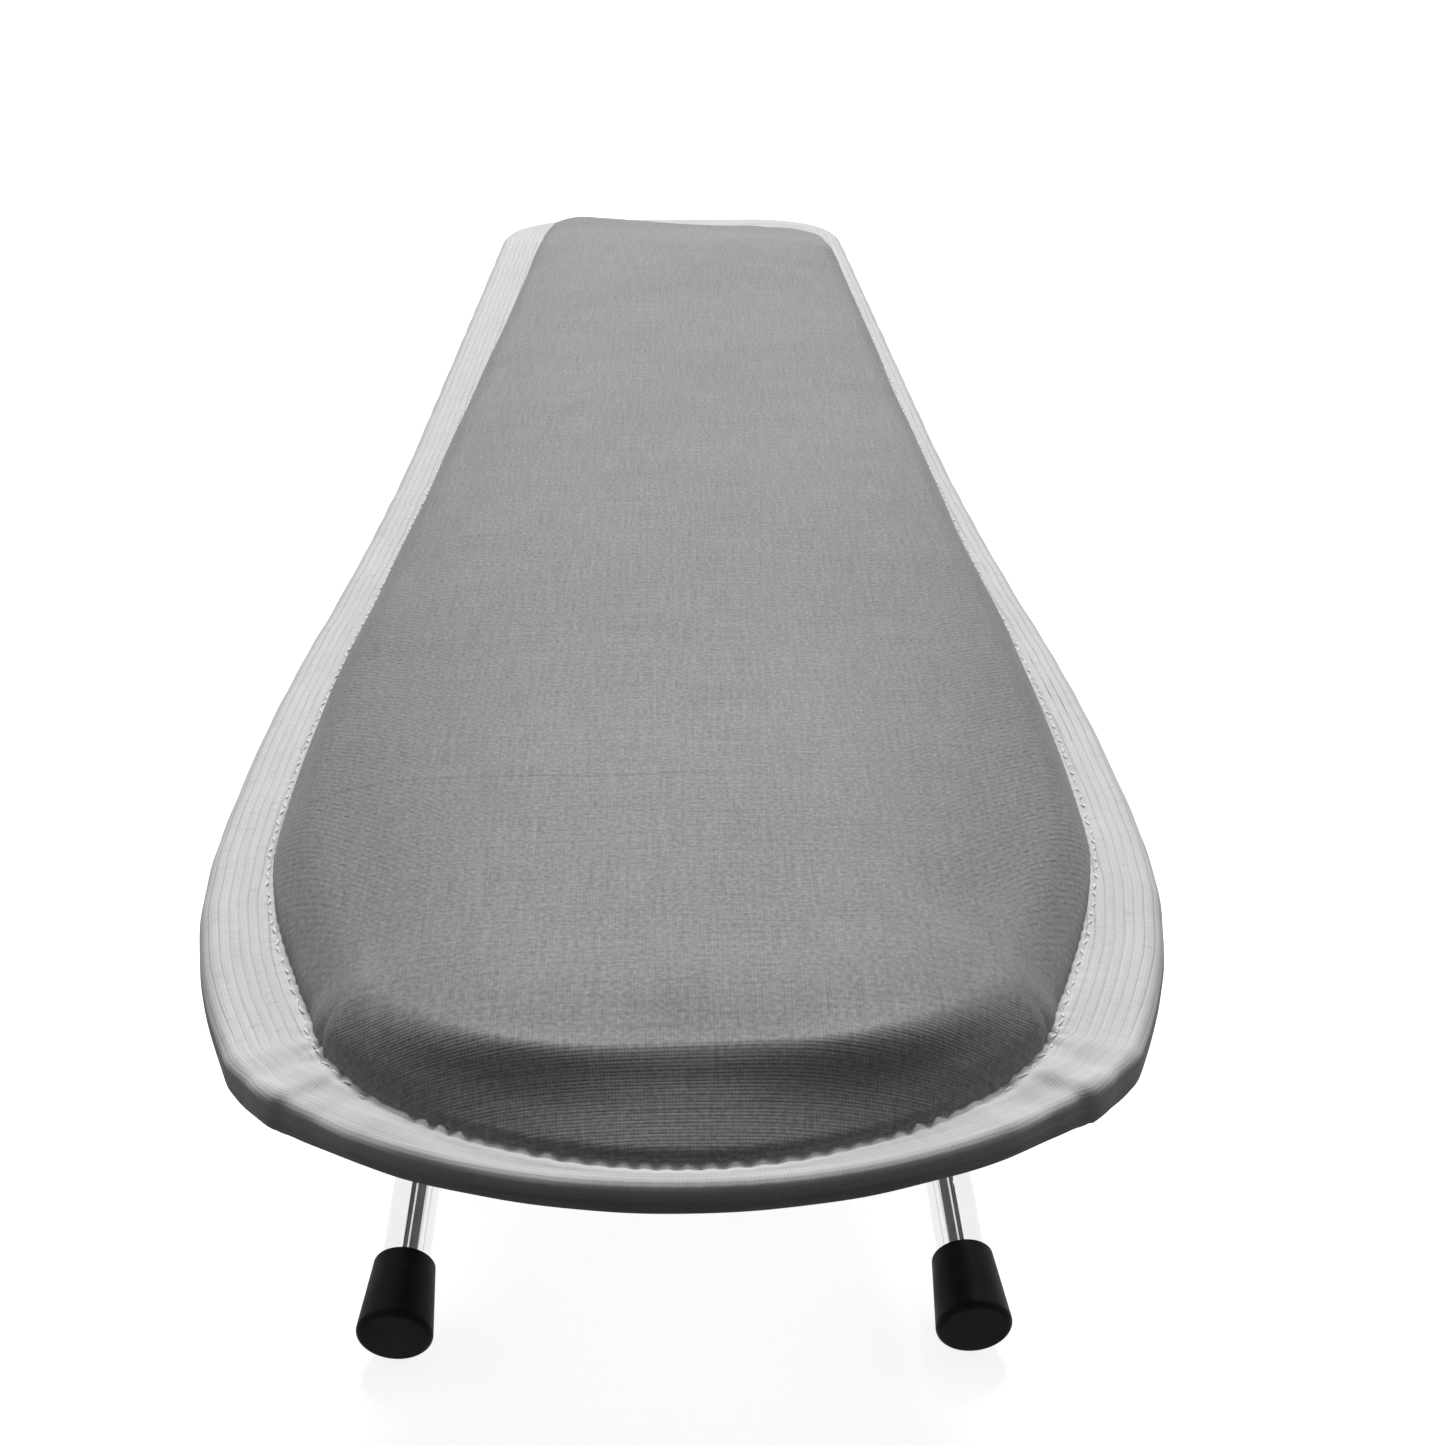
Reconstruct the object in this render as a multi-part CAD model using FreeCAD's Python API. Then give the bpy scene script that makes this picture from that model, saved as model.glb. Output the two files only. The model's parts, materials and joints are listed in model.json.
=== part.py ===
import FreeCAD, Part
import math
import os

from FreeCAD import Vector

# Table-top sleeve ironing board on a folding scissor frame.
# Millimetres. +Y runs from the wide end to the narrow end, +Z is up, X is the width.
# Origin: on the floor, under the middle of the board. Left is -X, right is +X.

# ---- board outline ---------------------------------------------------------
BOARD_LENGTH = 490.0
# Right half of the outline, walked from the middle of the wide end:
# (radius, turn in degrees). A negative turn bends the other way.
OUTLINE_ARCS = [
    (73.0, 43.0),       # blunt nose
    (24.0, 27.0),       # shoulder
    (167.0, 20.0),      # hip, where the board is widest
    (830.0, 5.5),       # flare towards the narrow part
    (2050.0, -3.3),     # flare running out
]
CORNER_RADIUS = 24.0    # corners of the narrow end

# ---- heights ---------------------------------------------------------------
TOP_Z = 112.0           # ironing surface above the floor
COVER_T = 0.6
PAD_T = 8.4
FELT_T = 1.0
DECK_T = 1.0
RIM_DEPTH = 2.8         # deck rim, over all
PIVOT_DROP = 11.5       # leg bars' axes below the deck's underside
LAYER_GAP = 0.05        # between loose layers

DECK_TOP = TOP_Z - COVER_T - PAD_T - FELT_T
DECK_UNDER = DECK_TOP - DECK_T
RIM_BOTTOM = DECK_TOP - RIM_DEPTH
FELT_TOP = DECK_TOP + FELT_T
PIVOT_Z = DECK_UNDER - PIVOT_DROP

# ---- insets from the outline -----------------------------------------------
BAND_T = 0.8            # thickness of the white edge band
DECK_INSET = 1.0
FELT_INSET = 1.0
SEAM_INSET = 9.8        # where the band meets the grey cover
HEM_INSET = 8.0         # inner edge of the band under the deck
COVER_SLOPE = 5.4       # how far the padded edge leans in
PAD_CLEAR = 0.7         # cover side wall, level

# ---- vent holes ------------------------------------------------------------
VENT_R = 3.0
VENT_PITCH = 21.0
VENT_COLUMN = 15.0
VENT_FIRST_X = 20.0
VENT_MARGIN = 17.0

# ---- scissor frame ---------------------------------------------------------
TUBE_R = 4.0
TUBE_WALL = 0.8
BEND_R = 14.0
FOLD_ANGLE = 15.5       # legs above the floor when open, degrees
FOOT_END_Y = -145.0     # end face of the outer feet when open
OUTER_TOP_X = 33.5      # half width at the pivot bar
OUTER_FOOT_X = 47.5     # half width at the feet
CROSS_OFFSET = 8.0      # crossing point, this far below the legs' middle
FRAME_STEP = 11.2       # inner tubes' axes inside the outer tubes' axes, all along

# ---- feet ------------------------------------------------------------------
FOOT_LENGTH = 14.5
FOOT_END_R = 6.35
FOOT_TOP_R = 5.2
FOOT_ROUND = 1.0
FOOT_FLOOR_T = 4.0      # rubber beyond the tube's end

# ---- brackets, rails and rivets --------------------------------------------
SLIP = 0.02             # parts that stay together
RUN = 0.05              # parts that turn on each other
BRACKET_X = 12.0
BRACKET_WIDTH = 12.0
BRACKET_T = 1.5
BRACKET_FLANGE = 10.0
BLOCK_R = 5.6
BLOCK_WIDTH = 14.0
RAIL_X = 15.0
RAIL_T = 2.0
RAIL_FLANGE = 12.0
RAIL_END = 5.0          # metal past the slot's ends
SPOOL_R = 5.0
SPOOL_FLANGE_R = 7.0
SPOOL_FLANGE_T = 1.4
SPOOL_SIDE = 0.2
SLOT_R = 5.15
NOTCH_RISE = 2.0        # seat notch above the slot's open end
RIVET_R = 2.0
RIVET_HEAD_R = 3.6
RIVET_HEAD_T = 1.4
HEAD_ROUND = 0.7        # rounded share of a rivet head's height
PIVOT_GAP = 0.5         # between crossing tubes and what turns beside them
WASHER_R = 4.5
WASHER_T = 0.8
SPACER_R = 4.6
CROSS_HEAD_T = 1.8
STIFFENER_HALF = 11.0
STIFFENER_LENGTH = 260.0
STIFFENER_DEPTH = 5.0
STIFFENER_T = 1.0
STIFFENER_LIP = 5.0
CORD_R = 1.2

# ---- worked-out frame geometry ---------------------------------------------
FOLD = math.radians(FOLD_ANGLE)
FOOT_END_Z = (FOOT_END_R - FOOT_ROUND) * math.cos(FOLD) + FOOT_ROUND - FOOT_ROUND * math.sin(FOLD)
LEG_LENGTH = (PIVOT_Z - FOOT_END_Z) / math.sin(FOLD)
UPPER_LENGTH = LEG_LENGTH / 2 + CROSS_OFFSET
LOWER_LENGTH = LEG_LENGTH - UPPER_LENGTH
PIVOT_Y = FOOT_END_Y + LEG_LENGTH * math.cos(FOLD)
PIVOT = Vector(0, PIVOT_Y, PIVOT_Z)
FLAT_CROSS = Vector(0, PIVOT_Y - UPPER_LENGTH, PIVOT_Z)
OPEN_CROSS = PIVOT - Vector(0, UPPER_LENGTH * math.cos(FOLD), UPPER_LENGTH * math.sin(FOLD))
SLIDE_OPEN_Y = PIVOT_Y - 2 * UPPER_LENGTH * math.cos(FOLD)
SLIDE_FLAT_Y = PIVOT_Y - 2 * UPPER_LENGTH
FLAT_INNER_FOOT_Y = FLAT_CROSS.y + LOWER_LENGTH
SPLAY = (OUTER_FOOT_X - OUTER_TOP_X) / LEG_LENGTH
CROSS_X = OUTER_TOP_X + SPLAY * UPPER_LENGTH
INNER_CROSS_X = CROSS_X - FRAME_STEP
INNER_TOP_X = INNER_CROSS_X + SPLAY * UPPER_LENGTH
INNER_FOOT_X = INNER_CROSS_X - SPLAY * LOWER_LENGTH

AXIS_X = Vector(1, 0, 0)
AXIS_Z = Vector(0, 0, 1)
SIDES = (("left", -1), ("right", 1))
FAR = 400.0             # wider than the board
NEAR = 0.01             # distance within which an edge lies on a plane


# ---- helpers ---------------------------------------------------------------
def half_outline(inset, z):
    """Edges of the right half, from the wide end's middle to the narrow end's."""
    edges = []
    heading = 0.0
    at = Vector(0, -BOARD_LENGTH / 2 + inset, z)
    for radius, turn in OUTLINE_ARCS:
        edge, at, heading = walk_arc(at, heading, radius, turn, inset)
        edges.append(edge)
    corner_turn = 180.0 - heading
    corner_radius = CORNER_RADIUS - inset
    corner_rise = corner_radius * (1 + math.cos(math.radians(heading)))
    run = (BOARD_LENGTH / 2 - inset - corner_rise - at.y) / math.sin(math.radians(heading))
    ahead = Vector(math.cos(math.radians(heading)), math.sin(math.radians(heading)), 0)
    corner_start = at + ahead * run
    edges.append(Part.makeLine(at, corner_start))
    edge, at, heading = walk_arc(corner_start, heading, CORNER_RADIUS, corner_turn, inset)
    edges.append(edge)
    edges.append(Part.makeLine(at, Vector(0, at.y, z)))
    return edges


def walk_arc(start, heading, radius, turn, inset):
    """One tangent arc of the outline; an inset changes its radius, not its turn."""
    side = 1 if turn > 0 else -1
    r = radius - side * inset
    centre_angle = math.radians(heading + side * 90)
    centre = start + Vector(math.cos(centre_angle), math.sin(centre_angle), 0) * r
    points = []
    for share in (0.0, 0.5, 1.0):
        angle = math.radians(heading + turn * share - side * 90)
        points.append(centre + Vector(math.cos(angle), math.sin(angle), 0) * r)
    return Part.Arc(start, points[1], points[2]).toShape(), points[2], heading + turn


def outline(inset, z):
    """Closed outline of the board, moved in by inset, at height z."""
    right = half_outline(inset, z)
    left = [edge.mirror(Vector(0, 0, 0), AXIS_X) for edge in right]
    return Part.Wire(Part.__sortEdges__(right + left))


def slab(inset, low, high):
    """Board-shaped plate between two heights."""
    return Part.Face(outline(inset, low)).extrude(Vector(0, 0, high - low))


def dome(low_inset, high_inset, low, high):
    """Board-shaped pad whose edge leans in."""
    return Part.makeLoft([outline(low_inset, low), outline(high_inset, high)], True, True)


def cylinder_x(radius, x_low, x_high, y, z):
    """Solid cylinder along X."""
    return Part.makeCylinder(radius, x_high - x_low, Vector(x_low, y, z), AXIS_X)


def box(x_low, x_high, y_low, y_high, z_low, z_high):
    """Box given by its limits."""
    return Part.makeBox(x_high - x_low, y_high - y_low, z_high - z_low, Vector(x_low, y_low, z_low))


def drill(radius, x, y):
    """Upright cutting cylinder through the deck and what is riveted to it."""
    return Part.makeCylinder(radius, 4 * RIM_DEPTH, Vector(x, y, DECK_TOP - 2 * RIM_DEPTH))


def rounded_path(points, radius):
    """Straight runs joined by tangent arcs of one radius."""
    edges = []
    at = points[0]
    for corner, after in zip(points[1:], points[2:]):
        back = (at - corner).normalize()
        ahead = (after - corner).normalize()
        half_angle = back.getAngle(ahead) / 2
        reach = radius / math.tan(half_angle)
        middle = (back + ahead).normalize()
        arc_start = corner + back * reach
        arc_end = corner + ahead * reach
        arc_middle = corner + middle * (radius / math.sin(half_angle) - radius)
        edges.append(Part.makeLine(at, arc_start))
        edges.append(Part.Arc(arc_start, arc_middle, arc_end).toShape())
        at = arc_end
    edges.append(Part.makeLine(at, points[-1]))
    return Part.Wire(edges)


def sweep(path, start, direction, radius):
    """Round bar along a path."""
    profile = Part.Wire(Part.makeCircle(radius, start, direction))
    return path.makePipeShell([profile], True, False)


def u_tube(half_top, half_foot, top_y, foot_y):
    """U-shaped hollow tube lying flat, its bar across at top_y."""
    points = [
        Vector(-half_foot, foot_y, PIVOT_Z),
        Vector(-half_top, top_y, PIVOT_Z),
        Vector(half_top, top_y, PIVOT_Z),
        Vector(half_foot, foot_y, PIVOT_Z),
    ]
    path = rounded_path(points, BEND_R)
    direction = points[1] - points[0]
    outside = sweep(path, points[0], direction, TUBE_R)
    inside = sweep(path, points[0], direction, TUBE_R - TUBE_WALL)
    return outside.cut(inside)


def open_outer(shape):
    """Turn the outer frame from flat to open, about its pivot bar."""
    shape.rotate(PIVOT, AXIS_X, FOLD_ANGLE)
    return shape


def open_inner(shape):
    """Turn the inner frame from flat to open, about the crossing rivets."""
    shape.rotate(FLAT_CROSS, AXIS_X, -FOLD_ANGLE)
    shape.translate(OPEN_CROSS - FLAT_CROSS)
    return shape


# ---- soft layers -----------------------------------------------------------
def felt_underlay():
    """Felt sheet on the deck."""
    return slab(FELT_INSET, DECK_TOP + LAYER_GAP, FELT_TOP)


def foam_pad():
    """Foam under the cover."""
    low = FELT_TOP + LAYER_GAP
    high = TOP_Z - COVER_T - LAYER_GAP
    return dome(SEAM_INSET + PAD_CLEAR, SEAM_INSET + PAD_CLEAR + COVER_SLOPE, low, high)


def cover_top():
    """Grey cover over the foam, ending at the seam."""
    low = FELT_TOP + LAYER_GAP
    outside = dome(SEAM_INSET, SEAM_INSET + COVER_SLOPE, low, TOP_Z)
    wall = PAD_CLEAR - LAYER_GAP
    inside = dome(SEAM_INSET + wall, SEAM_INSET + wall + COVER_SLOPE, low, TOP_Z - COVER_T)
    return outside.cut(inside)


def edge_band():
    """White band from the seam, round the deck's rim, to the hem underneath."""
    low = RIM_BOTTOM - BAND_T - LAYER_GAP
    high = FELT_TOP + LAYER_GAP + BAND_T
    band = slab(0, low, high)
    band = band.cut(slab(DECK_INSET - LAYER_GAP, RIM_BOTTOM - LAYER_GAP, FELT_TOP + LAYER_GAP))
    band = band.cut(slab(SEAM_INSET - LAYER_GAP, FELT_TOP, high + 1))
    return band.cut(slab(HEM_INSET, low - 1, DECK_TOP))


def hem_cord():
    """Elastic cord along the hem, under the rim."""
    inset = HEM_INSET + CORD_R + LAYER_GAP
    z = RIM_BOTTOM - CORD_R + BAND_T / 2
    start = Vector(0, -BOARD_LENGTH / 2 + inset, z)
    return sweep(outline(inset, z), start, AXIS_X, CORD_R)


# ---- deck and what is fixed to it ------------------------------------------
def vent_centres():
    """Staggered rows of vent holes, clear of the brackets, rails and stiffener."""
    field = Part.Face(outline(VENT_MARGIN, 0))
    rows = int(BOARD_LENGTH / VENT_PITCH)
    centres = []
    for row in range(rows):
        y = (row - (rows - 1) / 2) * VENT_PITCH
        for column in range(4):
            x = VENT_FIRST_X + (column + 0.5 * (row % 2)) * VENT_COLUMN
            near_bar = min(abs(y - PIVOT_Y), abs(y - SLIDE_OPEN_Y)) < VENT_PITCH
            if near_bar and x < RAIL_X + RAIL_FLANGE + 2 * VENT_R:
                continue
            if field.isInside(Vector(x, y, 0), 0.01, True):
                centres += [(x, y), (-x, y)]
    return centres


def deck_plate():
    """Pressed steel deck with a turned-down rim, vent holes and rivet holes."""
    deck = slab(DECK_INSET, RIM_BOTTOM, DECK_TOP)
    deck = deck.cut(slab(DECK_INSET + DECK_T, RIM_BOTTOM - 1, DECK_UNDER))
    holes = [drill(VENT_R, x, y) for x, y in vent_centres()]
    holes += [drill(RIVET_R + SLIP, x, y) for x, y, _ in rivet_places()]
    return deck.cut(holes)


def stiffener():
    """Hat-section rib along the middle of the deck's underside."""
    y = STIFFENER_LENGTH / 2
    low = DECK_UNDER - STIFFENER_DEPTH
    hat = box(-STIFFENER_HALF + STIFFENER_LIP, STIFFENER_HALF - STIFFENER_LIP, -y, y, low, DECK_UNDER)
    inner = STIFFENER_HALF - STIFFENER_LIP - STIFFENER_T
    hat = hat.cut(box(-inner, inner, -y - 1, y + 1, low + STIFFENER_T, DECK_UNDER + 1))
    for side in (-1, 1):
        ends = sorted((side * STIFFENER_HALF, side * inner))
        hat = hat.fuse(box(ends[0], ends[1], -y, y, DECK_UNDER - STIFFENER_T, DECK_UNDER))
    return hat.removeSplitter()


def rivet_places():
    """(x, y, thickness riveted) of every rivet through the deck."""
    places = []
    reach = BLOCK_R + BRACKET_T + BRACKET_FLANGE / 2
    rail_y = rail_span()
    for _, side in SIDES:
        places.append((side * BRACKET_X, PIVOT_Y - reach, BRACKET_T))
        places.append((side * BRACKET_X, PIVOT_Y + reach, BRACKET_T))
        x = side * (RAIL_X + RAIL_FLANGE / 2 + RAIL_T / 2)
        places.append((x, rail_y[0] + RAIL_END, RAIL_T))
        places.append((x, rail_y[1] - RAIL_END, RAIL_T))
    return places


def deck_rivets(rivet_kind):
    """Rivets of the brackets or of the rails, flush with the deck's top."""
    thickness = {"bracket": BRACKET_T, "rail": RAIL_T}[rivet_kind]
    rivets = []
    for x, y, held in rivet_places():
        if held != thickness:
            continue
        bottom = DECK_UNDER - held - RIVET_HEAD_T
        overlap = RIVET_HEAD_T / 2
        shank = Part.makeCylinder(RIVET_R, DECK_TOP - bottom - overlap, Vector(x, y, bottom + overlap))
        head = Part.makeCylinder(RIVET_HEAD_R, RIVET_HEAD_T, Vector(x, y, bottom))
        rim = [edge for edge in head.Edges if edge.BoundBox.ZMax < bottom + NEAR]
        head = head.makeFillet(RIVET_HEAD_T * HEAD_ROUND, rim)
        rivets.append(shank.fuse(head).removeSplitter())
    return Part.makeCompound(rivets)


def across_pivot(x_low, x_high, half_y, z_low, z_high):
    """Box centred on the pivot bar along Y."""
    return box(x_low, x_high, PIVOT_Y - half_y, PIVOT_Y + half_y, z_low, z_high)


def pivot_bracket(side):
    """Steel strap that holds one bearing block under the deck."""
    x_low = side * BRACKET_X - BRACKET_WIDTH / 2
    x_high = x_low + BRACKET_WIDTH
    outer_r = BLOCK_R + SLIP + BRACKET_T
    inner_r = BLOCK_R + SLIP
    strap = cylinder_x(outer_r, x_low, x_high, PIVOT_Y, PIVOT_Z)
    strap = strap.fuse(across_pivot(x_low, x_high, outer_r, PIVOT_Z, DECK_UNDER))
    flange = outer_r + BRACKET_FLANGE
    strap = strap.fuse(across_pivot(x_low, x_high, flange, DECK_UNDER - BRACKET_T, DECK_UNDER))
    strap = strap.cut(cylinder_x(inner_r, x_low - 1, x_high + 1, PIVOT_Y, PIVOT_Z))
    strap = strap.cut(across_pivot(x_low - 1, x_high + 1, inner_r, PIVOT_Z, DECK_UNDER + 1))
    strap = strap.removeSplitter()
    return strap.cut([drill(RIVET_R + SLIP, x, y) for x, y, held in rivet_places() if held == BRACKET_T])


def pivot_block(side):
    """Nylon bearing block in the strap, bored for the outer frame's bar."""
    x_low = side * BRACKET_X - BLOCK_WIDTH / 2
    x_high = x_low + BLOCK_WIDTH
    block = cylinder_x(BLOCK_R, x_low, x_high, PIVOT_Y, PIVOT_Z)
    top = DECK_UNDER - LAYER_GAP
    block = block.fuse(across_pivot(x_low, x_high, BLOCK_R, PIVOT_Z, top))
    block = block.cut(cylinder_x(TUBE_R + RUN, x_low - 1, x_high + 1, PIVOT_Y, PIVOT_Z))
    return block.removeSplitter()


def rail_span():
    """Lowest and highest Y of a slide rail."""
    return SLIDE_FLAT_Y - SLOT_R - 2 * RAIL_END, SLIDE_OPEN_Y + SLOT_R + 2 * RAIL_END


def slide_rail(side):
    """Angle rail with the slot that guides the inner frame's bar, and its seat notch."""
    y_low, y_high = rail_span()
    bottom = PIVOT_Z - SLOT_R - RAIL_END
    web_low = RAIL_X - RAIL_T / 2
    web_high = RAIL_X + RAIL_T / 2
    open_low, open_high = SLIDE_OPEN_Y - SLOT_R, SLIDE_OPEN_Y + SLOT_R
    rail = box(web_low, web_high, y_low, y_high, bottom, DECK_UNDER)
    lower_corners = [e for e in rail.Edges if e.BoundBox.ZMax < bottom + NEAR and e.BoundBox.YLength < NEAR]
    rail = rail.makeFillet(RAIL_END, lower_corners)
    rail = rail.fuse(box(web_low, web_high + RAIL_FLANGE, y_low, y_high, DECK_UNDER - RAIL_T, DECK_UNDER))
    slot_ends = [
        cylinder_x(SLOT_R, web_low - 1, web_high + 1, SLIDE_FLAT_Y, PIVOT_Z),
        cylinder_x(SLOT_R, web_low - 1, web_high + 1, SLIDE_OPEN_Y, PIVOT_Z),
        cylinder_x(SLOT_R, web_low - 1, web_high + 1, SLIDE_OPEN_Y, PIVOT_Z + NOTCH_RISE),
        box(web_low - 1, web_high + 1, SLIDE_FLAT_Y, SLIDE_OPEN_Y, PIVOT_Z - SLOT_R, PIVOT_Z + SLOT_R),
        box(web_low - 1, web_high + 1, open_low, open_high, PIVOT_Z, PIVOT_Z + NOTCH_RISE),
    ]
    rail = rail.cut(slot_ends).removeSplitter()
    rail = rail.cut([drill(RIVET_R + SLIP, x, y) for x, y, held in rivet_places() if held == RAIL_T])
    return rail if side > 0 else rail.mirror(Vector(0, 0, 0), AXIS_X)


# ---- legs ------------------------------------------------------------------
def foot_cap(end, direction):
    """Tapered rubber cap on a tube's end; direction points up the tube."""
    r = FOOT_ROUND
    taper = math.atan2(FOOT_END_R - FOOT_TOP_R, FOOT_LENGTH)
    corner = Vector(FOOT_END_R - r, 0, r)
    low = corner - Vector(0, 0, r)
    side = corner + Vector(math.cos(taper), 0, math.sin(taper)) * r
    lean = math.radians(-45) + taper / 2
    middle = corner + Vector(math.cos(lean), 0, math.sin(lean)) * r
    top = Vector(FOOT_TOP_R, 0, FOOT_LENGTH)
    bore_r = TUBE_R + SLIP
    edges = [
        Part.makeLine(Vector(0, 0, 0), low),
        Part.Arc(low, middle, side).toShape(),
        Part.makeLine(side, top),
        Part.makeLine(top, Vector(bore_r, 0, FOOT_LENGTH)),
        Part.makeLine(Vector(bore_r, 0, FOOT_LENGTH), Vector(bore_r, 0, FOOT_FLOOR_T)),
        Part.makeLine(Vector(bore_r, 0, FOOT_FLOOR_T), Vector(0, 0, FOOT_FLOOR_T)),
        Part.makeLine(Vector(0, 0, FOOT_FLOOR_T), Vector(0, 0, 0)),
    ]
    cap = Part.Face(Part.Wire(edges)).revolve(Vector(0, 0, 0), AXIS_Z, 360)
    cap.Placement = FreeCAD.Placement(end, FreeCAD.Rotation(AXIS_Z, direction))
    return cap


def legs_tube(half_top, half_foot, bar_y, foot_y, hole_r):
    """U-shaped tube of one frame lying flat, ending inside its caps, with the crossing holes."""
    up = Vector(half_top - half_foot, bar_y - foot_y, 0).normalize()
    tube_end = Vector(half_foot, foot_y, 0) + up * (FOOT_FLOOR_T + SLIP)
    tube = u_tube(half_top, tube_end.x, bar_y, tube_end.y)
    return tube.cut(cylinder_x(hole_r, -FAR / 2, FAR / 2, FLAT_CROSS.y, PIVOT_Z))


def outer_leg_tube():
    """Outer U-shaped tube, pivoted under the narrow end."""
    foot_y = PIVOT_Y - LEG_LENGTH
    return open_outer(legs_tube(OUTER_TOP_X, OUTER_FOOT_X, PIVOT_Y, foot_y, RIVET_R + SLIP))


def outer_foot(side):
    """Rubber cap of the outer frame."""
    end = Vector(side * OUTER_FOOT_X, PIVOT_Y - LEG_LENGTH, PIVOT_Z)
    direction = Vector(side * (OUTER_TOP_X - OUTER_FOOT_X), LEG_LENGTH, 0)
    return open_outer(foot_cap(end, direction))


def inner_leg_tube():
    """Inner U-shaped tube, whose bar slides under the wide end."""
    tube = legs_tube(INNER_TOP_X, INNER_FOOT_X, SLIDE_FLAT_Y, FLAT_INNER_FOOT_Y, RIVET_R + RUN)
    return open_inner(tube)


def inner_foot(side):
    """Rubber cap of the inner frame."""
    end = Vector(side * INNER_FOOT_X, FLAT_INNER_FOOT_Y, PIVOT_Z)
    direction = Vector(side * (INNER_TOP_X - INNER_FOOT_X), SLIDE_FLAT_Y - FLAT_INNER_FOOT_Y, 0)
    return open_inner(foot_cap(end, direction))


def slide_spool(side):
    """Nylon spool on the inner frame's bar, running in a rail's slot."""
    half = RAIL_T / 2 + SPOOL_SIDE
    y, z = SLIDE_FLAT_Y, PIVOT_Z
    centre = side * RAIL_X
    spool = cylinder_x(SPOOL_R, centre - half, centre + half, y, z)
    for direction in (-1, 1):
        ends = sorted((centre + direction * half, centre + direction * (half + SPOOL_FLANGE_T)))
        spool = spool.fuse(cylinder_x(SPOOL_FLANGE_R, ends[0], ends[1], y, z))
    spool = spool.cut(cylinder_x(TUBE_R + SLIP, centre - RAIL_X, centre + RAIL_X, y, z))
    return open_inner(spool.removeSplitter())


def along_cross(side, radius, near, far):
    """Disc on the crossing axis between two distances from the middle plane."""
    ends = sorted((side * near, side * far))
    return cylinder_x(radius, ends[0], ends[1], OPEN_CROSS.y, OPEN_CROSS.z)


def cross_rivet(side):
    """Rivet through both tubes, the legs' crossing pivot."""
    outer_face = CROSS_X + TUBE_R + PIVOT_GAP
    inner_face = INNER_CROSS_X - TUBE_R - PIVOT_GAP - WASHER_T - SLIP
    shank = along_cross(side, RIVET_R, inner_face - CROSS_HEAD_T / 2, outer_face + CROSS_HEAD_T / 2)
    heads = []
    for near, far in ((outer_face, outer_face + CROSS_HEAD_T), (inner_face, inner_face - CROSS_HEAD_T)):
        head = along_cross(side, RIVET_HEAD_R, near, far)
        rim = [edge for edge in head.Edges if abs(edge.BoundBox.Center.x - side * far) < NEAR]
        heads.append(head.makeFillet(CROSS_HEAD_T * HEAD_ROUND, rim))
    return shank.fuse(heads).removeSplitter()


def cross_spacer(side):
    """Nylon spacer between the crossing tubes."""
    near = INNER_CROSS_X + TUBE_R + PIVOT_GAP
    far = CROSS_X - TUBE_R - PIVOT_GAP
    return along_cross(side, SPACER_R, near, far).cut(along_cross(side, RIVET_R + SLIP, near - 1, far + 1))


def cross_washer(side):
    """Steel washer under the rivet's inner head."""
    far = INNER_CROSS_X - TUBE_R - PIVOT_GAP
    near = far - WASHER_T
    return along_cross(side, WASHER_R, near, far).cut(along_cross(side, RIVET_R + SLIP, near - 1, far + 1))


# ---- output ----------------------------------------------------------------
def build():
    """Every node of the board, by name."""
    nodes = {
        "deck_plate": deck_plate(),
        "stiffener": stiffener(),
        "bracket_rivets": deck_rivets("bracket"),
        "rail_rivets": deck_rivets("rail"),
        "felt_underlay": felt_underlay(),
        "foam_pad": foam_pad(),
        "cover_top": cover_top(),
        "edge_band": edge_band(),
        "hem_cord": hem_cord(),
        "outer_leg_tube": outer_leg_tube(),
        "inner_leg_tube": inner_leg_tube(),
    }
    for name, side in SIDES:
        nodes["pivot_bracket_" + name] = pivot_bracket(side)
        nodes["pivot_block_" + name] = pivot_block(side)
        nodes["slide_rail_" + name] = slide_rail(side)
        nodes["slide_spool_" + name] = slide_spool(side)
        nodes["outer_foot_" + name] = outer_foot(side)
        nodes["inner_foot_" + name] = inner_foot(side)
        nodes["cross_rivet_" + name] = cross_rivet(side)
        nodes["cross_spacer_" + name] = cross_spacer(side)
        nodes["cross_washer_" + name] = cross_washer(side)
    return nodes


def main():
    os.makedirs("parts", exist_ok=True)
    for name, shape in build().items():
        shape.exportStep("parts/" + name + ".step")


main()
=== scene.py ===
import json
import math

import bmesh
import bpy
import numpy as np
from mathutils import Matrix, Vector
from mathutils.bvhtree import BVHTree
from mathutils.interpolate import poly_3d_calc


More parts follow.
